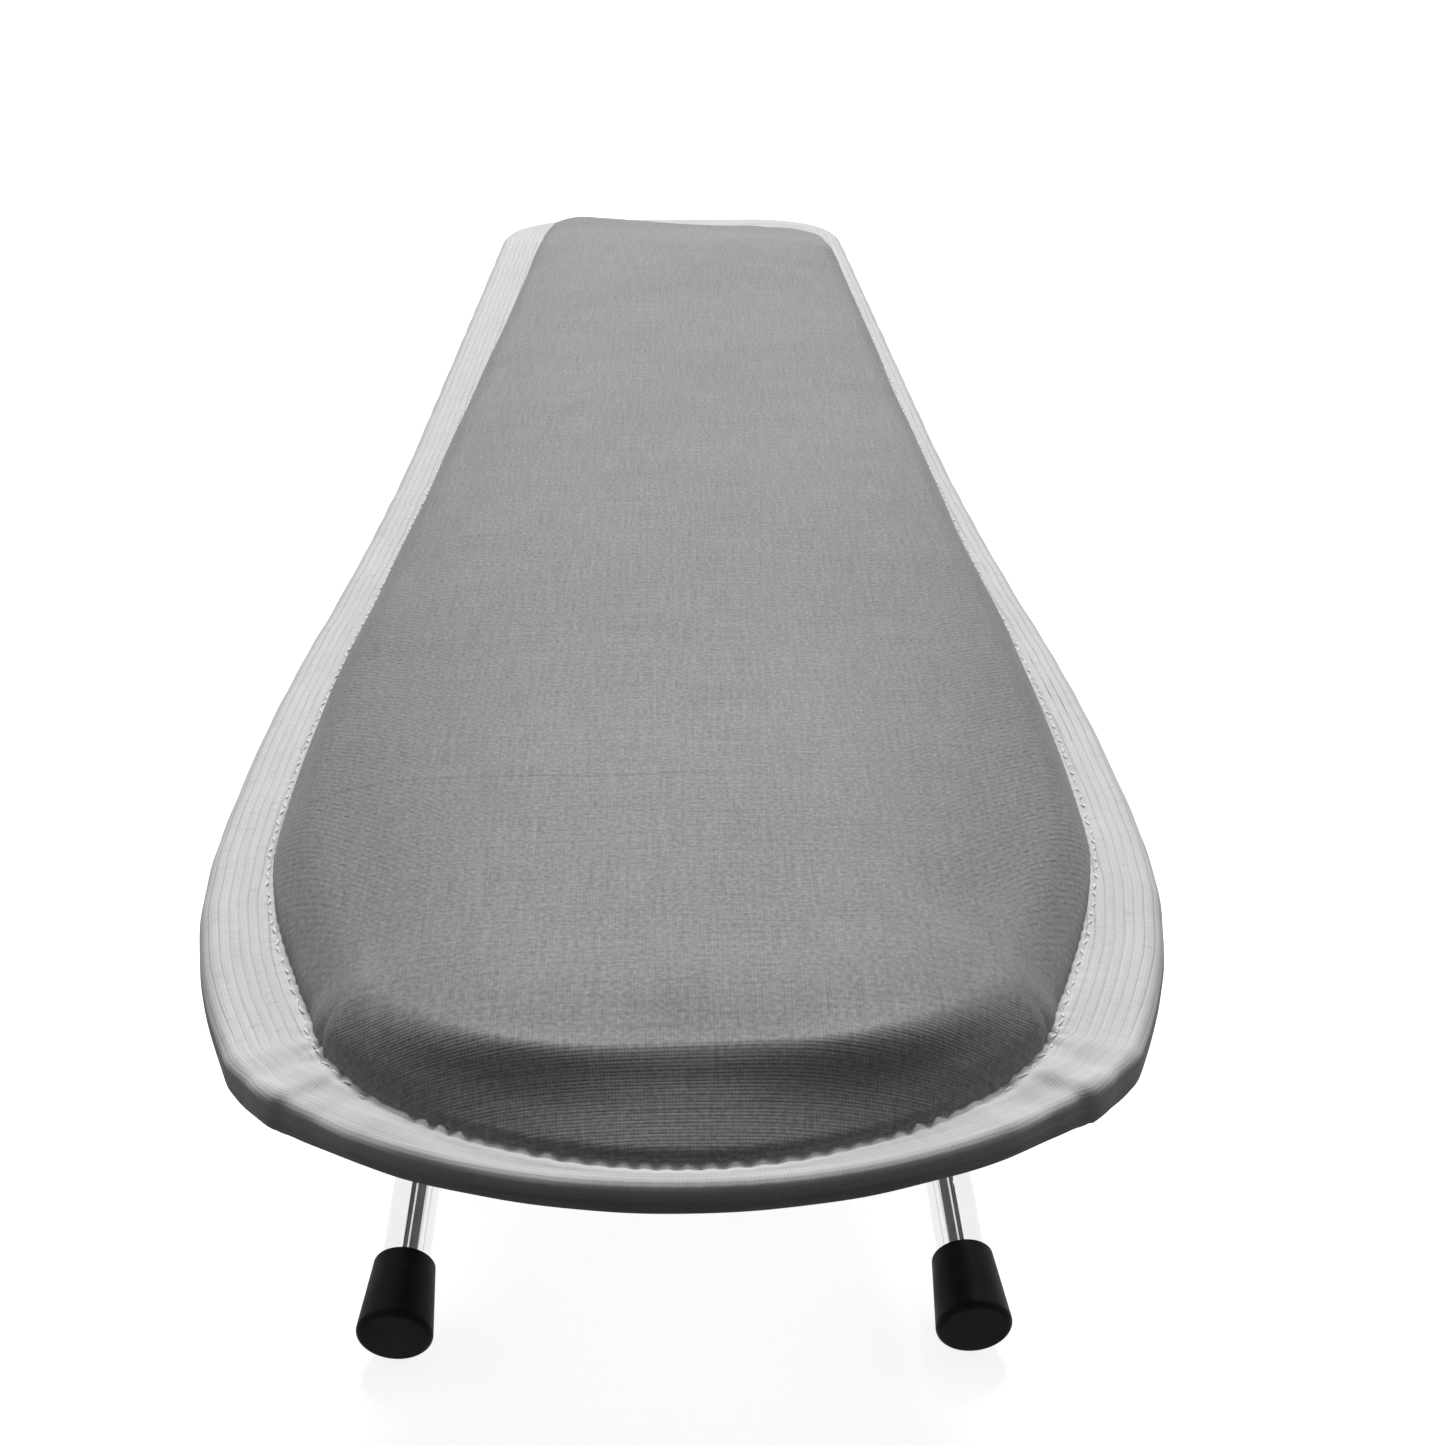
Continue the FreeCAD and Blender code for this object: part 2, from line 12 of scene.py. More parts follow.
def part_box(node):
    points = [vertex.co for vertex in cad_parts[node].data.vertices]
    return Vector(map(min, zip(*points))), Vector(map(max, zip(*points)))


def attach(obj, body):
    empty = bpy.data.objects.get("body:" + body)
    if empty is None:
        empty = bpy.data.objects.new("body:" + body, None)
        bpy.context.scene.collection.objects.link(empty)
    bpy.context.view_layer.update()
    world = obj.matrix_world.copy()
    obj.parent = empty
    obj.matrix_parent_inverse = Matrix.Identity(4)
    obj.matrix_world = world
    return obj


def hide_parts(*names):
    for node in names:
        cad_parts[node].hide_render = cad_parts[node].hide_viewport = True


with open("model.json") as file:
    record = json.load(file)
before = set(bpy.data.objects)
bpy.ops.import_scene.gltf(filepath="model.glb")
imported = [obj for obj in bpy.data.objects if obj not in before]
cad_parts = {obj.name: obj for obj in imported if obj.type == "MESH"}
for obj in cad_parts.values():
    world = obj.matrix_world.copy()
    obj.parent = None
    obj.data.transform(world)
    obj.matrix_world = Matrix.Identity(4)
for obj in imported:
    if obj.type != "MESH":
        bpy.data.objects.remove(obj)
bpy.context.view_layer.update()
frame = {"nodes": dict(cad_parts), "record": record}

# Looks of the table-top sleeve ironing board. Metres, in the frame of the CAD model.
MM = 0.001


def smooth(x):
    """Smooth step: 0 up to 0, 1 from 1 on."""
    x = np.clip(x, 0, 1)
    return x * x * (3 - 2 * x)


# ---- camera ----------------------------------------------------------------
IMAGE_SIDE = 1445
FOCAL_PIXELS = 2500.0
SENSOR = 36.0
CAMERA_AT = (-0.0014, -0.4791, 0.2620)
CAMERA_PITCH = 23.74    # degrees down from level
CAMERA_YAW = 1.29       # degrees to the right


def make_camera():
    data = bpy.data.cameras.new("camera")
    data.sensor_width = SENSOR
    data.lens = FOCAL_PIXELS / IMAGE_SIDE * SENSOR
    data.clip_start = 0.01
    data.clip_end = 50.0
    camera = bpy.data.objects.new("camera", data)
    bpy.context.scene.collection.objects.link(camera)
    camera.location = CAMERA_AT
    camera.rotation_euler = (math.radians(90 - CAMERA_PITCH), 0, math.radians(-CAMERA_YAW))
    bpy.context.scene.camera = camera


make_camera()

# ---- outline of the board --------------------------------------------------
BAND_LOW, BAND_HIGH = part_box("edge_band")
HALF_LENGTH = (BAND_HIGH.y - BAND_LOW.y) / 2
# Right half, walked from the middle of the wide end: (radius in mm, turn in degrees).
# A negative turn bends outwards.
OUTLINE_ARCS = [(73.0, 43.0), (24.0, 27.0), (167.0, 20.0), (830.0, 5.5), (2050.0, -3.3)]
CORNER_RADIUS = 24.0    # mm, at the narrow end
ARC_STEPS = 300
TANGENT_STEP = 0.0002
SIDE_BLEND = 20 * MM
WARP_WAVES = ((31, 1.0), (47, 2.1))             # (turns round the board, share of the phase)
WANDER_SHARES = (1.0, 0.73, 0.59, 1.37)         # of the wavelength


def outline_arc(at, heading, radius, turn):
    """Points of one tangent arc, in metres, and the heading after it."""
    side = 1 if turn > 0 else -1
    inward = math.radians(heading + side * 90)
    centre = at + radius * MM * np.array([math.cos(inward), math.sin(inward)])
    angle = np.radians(heading + np.linspace(0, turn, ARC_STEPS) - side * 90)
    points = centre + radius * MM * np.stack([np.cos(angle), np.sin(angle)], 1)
    return points, heading + turn


def half_outline():
    """Right half of the outline, from the middle of the wide end to the narrow end's."""
    heading, parts = 0.0, [np.array([[0.0, -HALF_LENGTH]])]
    for radius, turn in OUTLINE_ARCS:
        points, heading = outline_arc(parts[-1][-1], heading, radius, turn)
        parts.append(points)
    at = parts[-1][-1]
    rise = CORNER_RADIUS * MM * (1 + math.cos(math.radians(heading)))
    run = (HALF_LENGTH - rise - at[1]) / math.sin(math.radians(heading))
    ahead = np.array([math.cos(math.radians(heading)), math.sin(math.radians(heading))])
    start = at + ahead * run
    parts.append(at + ahead * np.linspace(0, run, ARC_STEPS)[:, None])
    points, heading = outline_arc(start, heading, CORNER_RADIUS, 180.0 - heading)
    parts.append(points)
    parts.append(points[-1] * np.array([[0.0, 1.0]]))
    return np.concatenate(parts)


class Loop:
    """Even samples round the board, from the wide end's middle.

    p, t, n: place, tangent and inward normal; s, signed: distance round, from 0 and to both sides;
    tip: mm from the wide end; side: -1 on the left to 1 on the right.
    """

    def __init__(self, count):
        half = half_outline()
        whole = np.concatenate([half, (half * [-1, 1])[::-1]])
        steps = np.linalg.norm(np.diff(whole, axis=0), axis=1)
        along = np.concatenate([[0.0], np.cumsum(steps)])
        keep = np.concatenate([[True], steps > 1e-9])
        along, whole = along[keep], whole[keep]
        self.count = count
        self.length = along[-1]
        self.s = np.arange(count) * self.length / count

        def place(s):
            return np.stack([np.interp(s % self.length, along, whole[:, k]) for k in (0, 1)], 1)

        self.p = place(self.s)
        t = place(self.s + TANGENT_STEP) - place(self.s - TANGENT_STEP)
        t /= np.linalg.norm(t, axis=1)[:, None]
        self.t = t
        self.n = np.stack([-t[:, 1], t[:, 0]], 1)
        self.tip = (self.p[:, 1] + HALF_LENGTH) / MM
        self.side = np.clip(self.p[:, 0] / SIDE_BLEND, -1, 1)
        self.signed = np.where(self.s > self.length / 2, self.s - self.length, self.s)

    def wave(self, wavelength, phase, warp=0.0):
        """Sine round the loop that closes on itself."""
        turns = round(self.length / wavelength)
        angle = 2 * np.pi * turns * self.s / self.length
        if warp:
            for slow, share in WARP_WAVES:
                angle = angle + warp * np.sin(2 * np.pi * slow * self.s / self.length + share * phase)
        return np.sin(angle + phase)

    def wander(self, wavelength, seed):
        """Smooth irregular value round the loop, about -1 to 1."""
        total = np.zeros(self.count)
        for k, share in enumerate(WANDER_SHARES):
            total += self.wave(wavelength * share, seed * (k + 1.7) * 2.3)
        return total / 2.4

    def soften(self, plan, reach):
        """Plan positions evened out round the board over a reach in metres."""
        turns = np.fft.fftfreq(self.count, self.length / self.count)
        keep = np.exp(-2 * (np.pi * turns * reach) ** 2)[:, None]
        return np.fft.ifft(np.fft.fft(plan, axis=0) * keep, axis=0).real

    def at(self, inset):
        """Plan positions moved in by an inset in metres."""
        return self.p + self.n * np.asarray(inset).reshape(-1, 1)

    def from_tip(self, table):
        """Value at every sample, from a table of (mm from the wide end, value)."""
        return np.interp(self.tip, *zip(*table))


# Inset of the seam between cover and band, and how far it sits to the right: (mm from the wide end, mm).
SEAM = [(0, 4.6), (3, 5.6), (9, 7.0), (14, 8.6), (22, 11.3), (32, 12.3), (45, 12.0), (60, 11.0), (78, 9.8),
        (110, 9.2), (142, 8.9), (179, 8.2), (221, 7.4), (271, 7.2), (350, 8.2), (460, 9.6), (490, 9.6)]
ASKEW = [(60, 0.0), (180, 1.0), (300, 2.2), (400, 3.4), (490, 3.4)]
# The band is wider at the narrow end, above all towards the right, all in mm.
END_FROM, END_REACH = 455, 26
END_WIDER, END_WIDER_RIGHT = 2.0, 11.0


def seam_inset(loop):
    """Inset of the seam; the cover sits a little askew towards the right at the narrow end."""
    across = loop.p[:, 0] / MM
    wider = END_WIDER + END_WIDER_RIGHT * smooth((across + 30) / 60)
    end = smooth((loop.tip - END_FROM) / END_REACH) * wider
    return (loop.from_tip(SEAM) + end - loop.side * loop.from_tip(ASKEW)) * MM


def front_share(loop):
    """1 along the front of the wide end, 0 behind its corners."""
    return smooth((26 - loop.tip) / 16)


# ---- mesh helpers ----------------------------------------------------------
def make_mesh(name, points, faces, uvs=None, period=None):
    """Mesh from points and faces; with a period, quads that cross the cloth map's end are kept whole."""
    mesh = bpy.data.meshes.new(name)
    mesh.from_pydata([tuple(p) for p in points], [], [tuple(f) for f in faces])
    if uvs is not None:
        layer = mesh.uv_layers.new(name="cloth")
        index = np.empty(len(mesh.loops), int)
        mesh.loops.foreach_get("vertex_index", index)
        flat = uvs[index]
        if period:
            quads = flat[:, 0].reshape(-1, 4)
            quads += period * ((quads.max(1, keepdims=True) - quads) > period / 2)
            flat[:, 0] = quads.ravel()
        layer.data.foreach_set("uv", flat.astype(np.float32).ravel())
    mesh.polygons.foreach_set("use_smooth", np.ones(len(mesh.polygons), bool))
    mesh.update()
    return mesh


def make_object(name, mesh, material):
    mesh.materials.append(material)
    made = bpy.data.objects.new(name, mesh)
    bpy.context.scene.collection.objects.link(made)
    return made


def grid_faces(rows, columns, close_rows=True, close_columns=False, flip=False):
    """Quads of a grid whose rows run round the board; a point's number is row * columns + column."""
    faces = []
    for i in range(rows if close_rows else rows - 1):
        a, b = i * columns, ((i + 1) % rows) * columns
        for j in range(columns if close_columns else columns - 1):
            k = (j + 1) % columns
            face = (a + j, b + j, b + k, a + k)
            faces.append(face[::-1] if flip else face)
    return faces


def evaluated_mesh(made):
    """Copy of an object's mesh after its modifiers."""
    graph = bpy.context.evaluated_depsgraph_get()
    return bpy.data.meshes.new_from_object(made.evaluated_get(graph))


def solidify(made, thickness):
    """Gives a surface its cloth thickness."""
    modifier = made.modifiers.new("thickness", "SOLIDIFY")
    modifier.thickness = thickness
    modifier.offset = -1.0
    modifier.use_even_offset = False


# ---- materials -------------------------------------------------------------
class Shader:
    """Short way to write a node material."""

    def __init__(self, name):
        self.material = bpy.data.materials.new(name)
        self.material.use_nodes = True
        self.tree = self.material.node_tree
        self.tree.nodes.clear()
        self.out = self.tree.nodes.new("ShaderNodeOutputMaterial")
        self.bsdf = self.tree.nodes.new("ShaderNodeBsdfPrincipled")
        self.tree.links.new(self.bsdf.outputs[0], self.out.inputs[0])

    def put(self, socket, value):
        """Links a socket, or sets a plain value."""
        if isinstance(value, bpy.types.NodeSocket):
            self.tree.links.new(value, socket)
        else:
            socket.default_value = value

    def node(self, kind, inputs=None, **settings):
        made = self.tree.nodes.new("ShaderNode" + kind)
        for key, value in settings.items():
            setattr(made, key, value)
        for key, value in (inputs or {}).items():
            self.put(made.inputs[key], value)
        return made

    def math(self, operation, a, b=0.0, c=0.0):
        return self.node("Math", {0: a, 1: b, 2: c}, operation=operation).outputs[0]

    def coords(self):
        return self.node("TexCoord").outputs["Object"]

    def uv(self):
        return self.node("UVMap", uv_map="cloth").outputs[0]

    def xyz(self, vector):
        return self.node("SeparateXYZ", {0: vector}).outputs

    def join(self, x, y, z=0.0):
        return self.node("CombineXYZ", {0: x, 1: y, 2: z}).outputs[0]

    def distance(self, place):
        """Distance from a place on the object, in metres."""
        return self.node("VectorMath", {0: self.coords(), 1: place}, operation="DISTANCE").outputs[1]

    def noise(self, vector, scale, detail=2.0, roughness=0.5):
        inputs = {"Vector": vector, "Scale": scale, "Detail": detail, "Roughness": roughness}
        return self.node("TexNoise", inputs).outputs["Fac"]

    def ramp(self, value, low, high, out_low=0.0, out_high=1.0):
        inputs = {0: value, 1: low, 2: high, 3: out_low, 4: out_high}
        return self.node("MapRange", inputs, clamp=True).outputs[0]

    def mix(self, factor, a, b):
        made = self.node("Mix", data_type="RGBA")
        self.put(made.inputs[0], factor)
        self.put(made.inputs[6], a)
        self.put(made.inputs[7], b)
        return made.outputs[2]

    def scale_colour(self, colour, factor):
        return self.node("VectorMath", {0: colour, "Scale": factor}, operation="SCALE").outputs[0]

    def bump(self, height, distance, strength):
        made = self.node("Bump", {"Height": height, "Distance": distance, "Strength": strength})
        self.put(self.bsdf.inputs["Normal"], made.outputs[0])

    def set(self, **values):
        """Sets the shader's own sockets, named with underscores, and returns the material."""
        for key, value in values.items():
            self.put(self.bsdf.inputs[key.replace("_", " ")], value)
        return self.material


THREAD_PITCH = 0.42 * MM


def weave(s, u, v):
    """Height of a plain weave, 0 to 1, of threads along both axes."""
    a = s.math("SINE", s.math("MULTIPLY", u, math.pi / THREAD_PITCH))
    b = s.math("SINE", s.math("MULTIPLY", v, math.pi / THREAD_PITCH))
    over = s.math("MULTIPLY_ADD", s.math("MULTIPLY", a, b), 0.5, 0.5)
    warp = s.math("POWER", s.math("ABSOLUTE", a), 0.7)
    weft = s.math("POWER", s.math("ABSOLUTE", b), 0.7)
    under = s.math("SUBTRACT", 1.0, over)
    return s.math("ADD", s.math("MULTIPLY", warp, over), s.math("MULTIPLY", weft, under))


GREY = (0.252, 0.252, 0.253, 1)
CREASES = ((-0.1615, -0.055, 0.016, 0.75), (-0.1515, 0.034, 0.053, 0.6))    # (y, x from, x to, weight)
COVER_SPECKS = ((-0.0385, -0.1325, 0.1125), (-0.0095, -0.2108, 0.1125))
HATCH_PITCH = 1.3 * MM


def crease_line(s, place, meander, y, x_low, x_high, weight):
    """Faint pressed line across the cover, fading at both ends."""
    off = s.math("ABSOLUTE", s.math("SUBTRACT", s.math("ADD", place[1], meander), y))
    line = s.ramp(off, 0.15 * MM, 0.75 * MM, weight, 0.0)
    line = s.math("MULTIPLY", line, s.ramp(place[0], x_low, x_low + 0.008, 0.0, 1.0))
    return s.math("MULTIPLY", line, s.ramp(place[0], x_high - 0.012, x_high, 1.0, 0.0))


def grey_cloth():
    """Plain-weave cotton: uneven threads, specks, two creases with painted shade along them, sides darkened
    with painted shade towards the wide end, and diagonally hatched sides.
    """
    s = Shader("grey_cloth")
    flat = s.xyz(s.uv())
    drift = s.noise(s.uv(), 90.0, 1.0)
    u = s.math("MULTIPLY_ADD", drift, 0.25 * MM, flat[0])
    v = s.math("MULTIPLY_ADD", drift, 0.2 * MM, flat[1])
    height = weave(s, u, v)
    fine, long = 1 / (1.3 * THREAD_PITCH), 70.0
    slub_along = s.noise(s.join(s.math("MULTIPLY", u, fine), s.math("MULTIPLY", v, long)), 1.0, 2.0, 0.6)
    slub_across = s.noise(s.join(s.math("MULTIPLY", u, long), s.math("MULTIPLY", v, fine)), 1.0, 2.0, 0.6)
    cloud = s.noise(s.coords(), 22.0, 3.0, 0.55)
    threads = s.math("ADD", *(s.ramp(slub, 0.3, 0.72, -0.5, 0.5) for slub in (slub_along, slub_across)))
    speckle = s.noise(s.join(u, v), 1500.0, 1.0, 0.5)
    tone = s.math("MULTIPLY_ADD", threads, 0.2, 1.0)
    tone = s.math("ADD", tone, s.ramp(height, 0.15, 1.0, -0.10, 0.06))
    tone = s.math("ADD", tone, s.ramp(cloud, 0.35, 0.65, -0.05, 0.05))
    tone = s.math("ADD", tone, s.ramp(speckle, 0.3, 0.7, -0.2, 0.2))
    place = s.xyz(s.coords())
    meander = s.math("MULTIPLY", s.math("SUBTRACT", s.noise(s.coords(), 90.0, 2.0), 0.5), 2.2 * MM)
    crease = s.math("MAXIMUM", *(crease_line(s, place, meander, *line) for line in CREASES))
    # Painted shade along the two creases: their lines darken the colour, and the bump dents them as well.
    tone = s.math("SUBTRACT", tone, s.math("MULTIPLY", crease, 0.16))
    for speck in COVER_SPECKS:
        tone = s.math("SUBTRACT", tone, s.ramp(s.distance(speck), 0.0002, 0.0007, 0.4, 0.0))
    # Painted shade: the colour is darkened by up to 30 % towards the sides, most towards the wide end; the
    # same mask sets how strongly the hatch shows.
    side_shade_and_hatch = s.ramp(s.math("ABSOLUTE", place[0]), 0.020, 0.056, 0.0, 0.30)
    darker = s.math("MULTIPLY", side_shade_and_hatch, s.ramp(place[1], -0.12, 0.02, 1.0, 0.15))
    tone = s.math("MULTIPLY", tone, s.math("SUBTRACT", 1.0, darker))
    slant = s.math("SUBTRACT", place[1], s.math("ABSOLUTE", place[0]))
    slant = s.math("MULTIPLY", slant, 2 * math.pi / HATCH_PITCH)
    hatch = s.math("SINE", s.math("MULTIPLY_ADD", drift, 2.5, slant))
    broken = s.ramp(s.noise(s.join(u, v), 700.0, 1.0), 0.4, 0.62, 0.0, 1.8)
    hatch = s.math("MULTIPLY", s.math("MULTIPLY", hatch, broken), s.ramp(place[1], -0.215, -0.19, 0.2, 1.0))
    hatch = s.math("MULTIPLY", hatch, s.ramp(place[1], -0.06, 0.06, 0.5, 0.1))
    tone = s.math("MULTIPLY_ADD", hatch, side_shade_and_hatch, tone)
    base = s.node("RGB")
    base.outputs[0].default_value = GREY
    relief = s.math("ADD", height, s.math("MULTIPLY", threads, 0.55))
    relief = s.math("SUBTRACT", relief, s.math("MULTIPLY", crease, 1.3))
    s.bump(relief, 0.07 * MM, 0.6)
    return s.set(Base_Color=s.scale_colour(base.outputs[0], tone), Roughness=s.ramp(height, 0, 1, 0.92, 0.78),
                 Specular_IOR_Level=0.22, Sheen_Weight=0.18, Sheen_Roughness=0.5)


RIB_PITCH = 1.3 * MM
DOT_PITCH = 0.8 * MM
# The second colour is painted shade for the tape under the rim's turn: a dark brownish grey with a soil tint.
WHITE, SOILED_AND_SHADED = (0.58, 0.58, 0.575), (0.17, 0.158, 0.145)
TAPE_MARKS = (    # (place, full within, none beyond, weight, colour): a small stain and a speck
    ((-0.0262, -0.2318, 0.1035), 0.0004, 0.0016, 0.55, (0.55, 0.42, 0.24, 1)),
    ((-0.0023, -0.2405, 0.1035), 0.0002, 0.0007, 0.7, (0.2, 0.18, 0.16, 1)),
)


def white_tape():
    """Ribbed woven tape: UV x runs along the tape, y in from its outer edge. Painted shade: under the rim's
    turn the colour goes dark brownish grey with a soil tint, and short dark dashes stand for the shade of
    small wrinkles.
    """
    s = Shader("white_tape")
    flat, place = s.xyz(s.uv()), s.xyz(s.coords())
    height = weave(s, flat[0], flat[1])
    rib = s.math("COSINE", s.math("MULTIPLY", flat[1], 2 * math.pi / RIB_PITCH))
    cross = s.math("SINE", s.math("MULTIPLY", flat[0], 2 * math.pi / DOT_PITCH))
    front = s.ramp(place[1], -0.222, -0.212, 0.25, 1.0)
    dots = s.math("MULTIPLY", s.ramp(rib, 0.72, 0.97, 0.0, 1.0), s.ramp(cross, -0.4, 0.6, 0.4, 1.0))
    dots = s.math("MULTIPLY", dots, front)
    short = s.join(s.math("MULTIPLY", flat[0], 1500.0), s.math("MULTIPLY", flat[1], 420.0))
    dashes = s.noise(short, 1.0, 1.0)
    cloud = s.noise(s.coords(), 55.0, 3.0, 0.6)
    soil_and_shade_mottle = s.noise(s.coords(), 16.0, 4.0, 0.6)
    drawn = s.join(s.math("MULTIPLY", flat[0], 60.0), s.math("MULTIPLY", flat[1], 2400.0))
    threads = s.noise(drawn, 1.0, 2.0)
    # Painted shade under the rim: the mask is full below the rim's turn, most in front and near the middle,
    # and fades towards the sides.
    under = s.ramp(place[2], 0.1005, 0.1022, 1.0, 0.0)
    under = s.math("MULTIPLY", under, s.ramp(place[1], -0.232, -0.205, 1.0, 0.3))
    under = s.math("MULTIPLY", under, s.ramp(s.math("ABSOLUTE", place[0]), 0.022, 0.045, 1.0, 0.15))
    tone = s.math("ADD", 1.0, s.ramp(height, 0.2, 1.0, -0.07, 0.03))
    tone = s.math("ADD", tone, s.ramp(cloud, 0.35, 0.65, -0.03, 0.03))
    tone = s.math("ADD", tone, s.ramp(threads, 0.3, 0.7, -0.045, 0.045))
    tone = s.math("SUBTRACT", tone, s.math("MULTIPLY", dots, 0.36))
    # Painted shade: short dark dashes across the tape stand for the shade of small wrinkles; weaker at the
    # wide end's front.
    tone = s.math("SUBTRACT", tone, s.math("MULTIPLY", front, s.ramp(dashes, 0.55, 0.8, 0.0, 0.16)))
    # Painted shade with a soil tint, mottled between 60 and 90 %.
    soil_and_shade = s.math("MULTIPLY", under, s.ramp(soil_and_shade_mottle, 0.3, 0.6, 0.6, 0.9))
    colour = s.mix(soil_and_shade, s.scale_colour(WHITE, tone), s.scale_colour(SOILED_AND_SHADED, tone))
    for at, near, far, weight, mark in TAPE_MARKS:
        colour = s.mix(s.ramp(s.distance(at), near, far, weight, 0.0), colour, mark)
    s.bump(s.math("ADD", s.math("MULTIPLY", height, 0.6), s.math("MULTIPLY", threads, 0.5)), 0.07 * MM, 0.6)
    return s.set(Base_Color=colour, Roughness=0.85, Specular_IOR_Level=0.25, Sheen_Weight=0.12,
                 Sheen_Roughness=0.5)


def thread():
    """Twisted sewing thread."""
    s = Shader("stitch_thread")
    place = s.xyz(s.coords())
    twist = s.math("SINE", s.math("MULTIPLY", s.math("ADD", place[0], place[1]), 16000.0))
    fuzz = s.noise(s.coords(), 4000.0, 1.0)
    tone = s.math("ADD", s.ramp(twist, -1, 1, 0.9, 1.05), s.ramp(fuzz, 0.3, 0.7, -0.05, 0.05))
    s.bump(twist, 0.05 * MM, 0.6)
    return s.set(Base_Color=s.scale_colour((0.83, 0.83, 0.82), tone), Roughness=0.6, Specular_IOR_Level=0.4)


def fibre(name, colour, scale, contrast, relief):
    """Felt, foam or elastic: a mottled, rough surface."""
    s = Shader(name)
    coarse = s.noise(s.coords(), scale, 4.0, 0.65)
    fine = s.noise(s.coords(), scale * 6, 2.0, 0.6)
    tone = s.ramp(coarse, 0.3, 0.7, 1 - contrast, 1 + contrast)
    tone = s.math("ADD", tone, s.ramp(fine, 0.3, 0.7, -0.06, 0.06))
    s.bump(s.math("ADD", coarse, fine), relief, 0.8)
    return s.set(Base_Color=s.scale_colour(colour, tone), Roughness=0.95, Specular_IOR_Level=0.15)


def metal(name, colour, roughness, brushed, wear, metallic=1.0, coat=0.0):
    """Plated or painted metal with faint handling marks."""
    s = Shader(name)
    cloud = s.noise(s.coords(), 70.0, 4.0, 0.6)
    place = s.xyz(s.coords())
    lines = s.noise(s.join(s.math("MULTIPLY", place[0], 5000.0), s.math("MULTIPLY", place[1], 60.0),
                           s.math("MULTIPLY", place[2], 5000.0)), 1.0, 2.0)
    specks = s.ramp(s.noise(s.coords(), 900.0, 2.0), 0.66, 0.74, 0.0, 1.0)
    tone = s.ramp(cloud, 0.3, 0.7, 1 - wear, 1 + wear)
    tone = s.math("ADD", tone, s.ramp(lines, 0.3, 0.7, -brushed, brushed))
    tone = s.math("SUBTRACT", tone, s.math("MULTIPLY", specks, wear * 2))
    rough = s.math("ADD", s.ramp(cloud, 0.3, 0.7, roughness * 0.75, roughness * 1.3),
                   s.math("MULTIPLY", specks, 0.12))
    s.bump(s.math("ADD", s.math("MULTIPLY", lines, brushed * 6), cloud), 0.02 * MM, 0.35)
    return s.set(Base_Color=s.scale_colour(colour, tone), Roughness=rough, Metallic=metallic,
                 Coat_Weight=coat)


def rubber():
    """Moulded black rubber with a dusty bloom and scuffs."""
    s = Shader("black_rubber")
    grain = s.noise(s.coords(), 2600.0, 3.0, 0.6)
    bloom = s.noise(s.coords(), 140.0, 4.0, 0.6)
    scuff = s.ramp(s.noise(s.coords(), 420.0, 3.0, 0.7), 0.6, 0.72, 0.0, 1.0)
    tone = s.math("ADD", s.ramp(bloom, 0.3, 0.7, 0.8, 1.25), s.math("MULTIPLY", scuff, 0.7))
    s.bump(s.math("ADD", grain, s.math("MULTIPLY", bloom, 1.5)), 0.06 * MM, 0.55)
    return s.set(Base_Color=s.scale_colour((0.009, 0.009, 0.0095), tone),
                 Roughness=s.ramp(bloom, 0.3, 0.7, 0.42, 0.6), Specular_IOR_Level=0.05)


def nylon():
    s = Shader("nylon")
    cloud = s.noise(s.coords(), 180.0, 3.0)
    s.bump(s.noise(s.coords(), 1500.0, 2.0), 0.02 * MM, 0.5)
    tone = s.ramp(cloud, 0.3, 0.7, 0.95, 1.03)
    return s.set(Base_Color=s.scale_colour((0.80, 0.79, 0.74), tone),
                 Roughness=s.ramp(cloud, 0.3, 0.7, 0.35, 0.5), Subsurface_Weight=0.1, Subsurface_Scale=0.002)


MATERIALS = {
    "grey_cloth": grey_cloth(),
    "white_tape": white_tape(),
    "stitch": thread(),
    "felt": fibre("felt", (0.52, 0.50, 0.46), 700.0, 0.16, 0.25 * MM),
    "foam": fibre("foam", (0.62, 0.56, 0.38), 900.0, 0.12, 0.3 * MM),
    "elastic_cord": fibre("elastic_cord", (0.68, 0.68, 0.66), 1200.0, 0.1, 0.2 * MM),
    "enamelled_steel": metal("enamelled_steel", (0.56, 0.56, 0.56), 0.34, 0.0, 0.05, 0.0, 0.3),
    "zinc_steel": metal("zinc_steel", (0.60, 0.61, 0.63), 0.38, 0.05, 0.07),
    "rivet_steel": metal("rivet_steel", (0.68, 0.68, 0.69), 0.24, 0.03, 0.05),
    "chrome_tube": metal("chrome_tube", (0.86, 0.86, 0.87), 0.09, 0.012, 0.015),
    "black_rubber": rubber(),
    "nylon": nylon(),
}

# ---- padded cover ----------------------------------------------------------
FELT_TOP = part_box("felt_underlay")[1].z
PAD_LOW = FELT_TOP + 0.1 * MM
PAD_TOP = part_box("cover_top")[1].z
STITCH_PITCH = 2.9 * MM
BULGE_HEIGHT = 1.3 * MM
BULGE_OUT = 0.5 * MM
TUCK_IN = 0.9 * MM
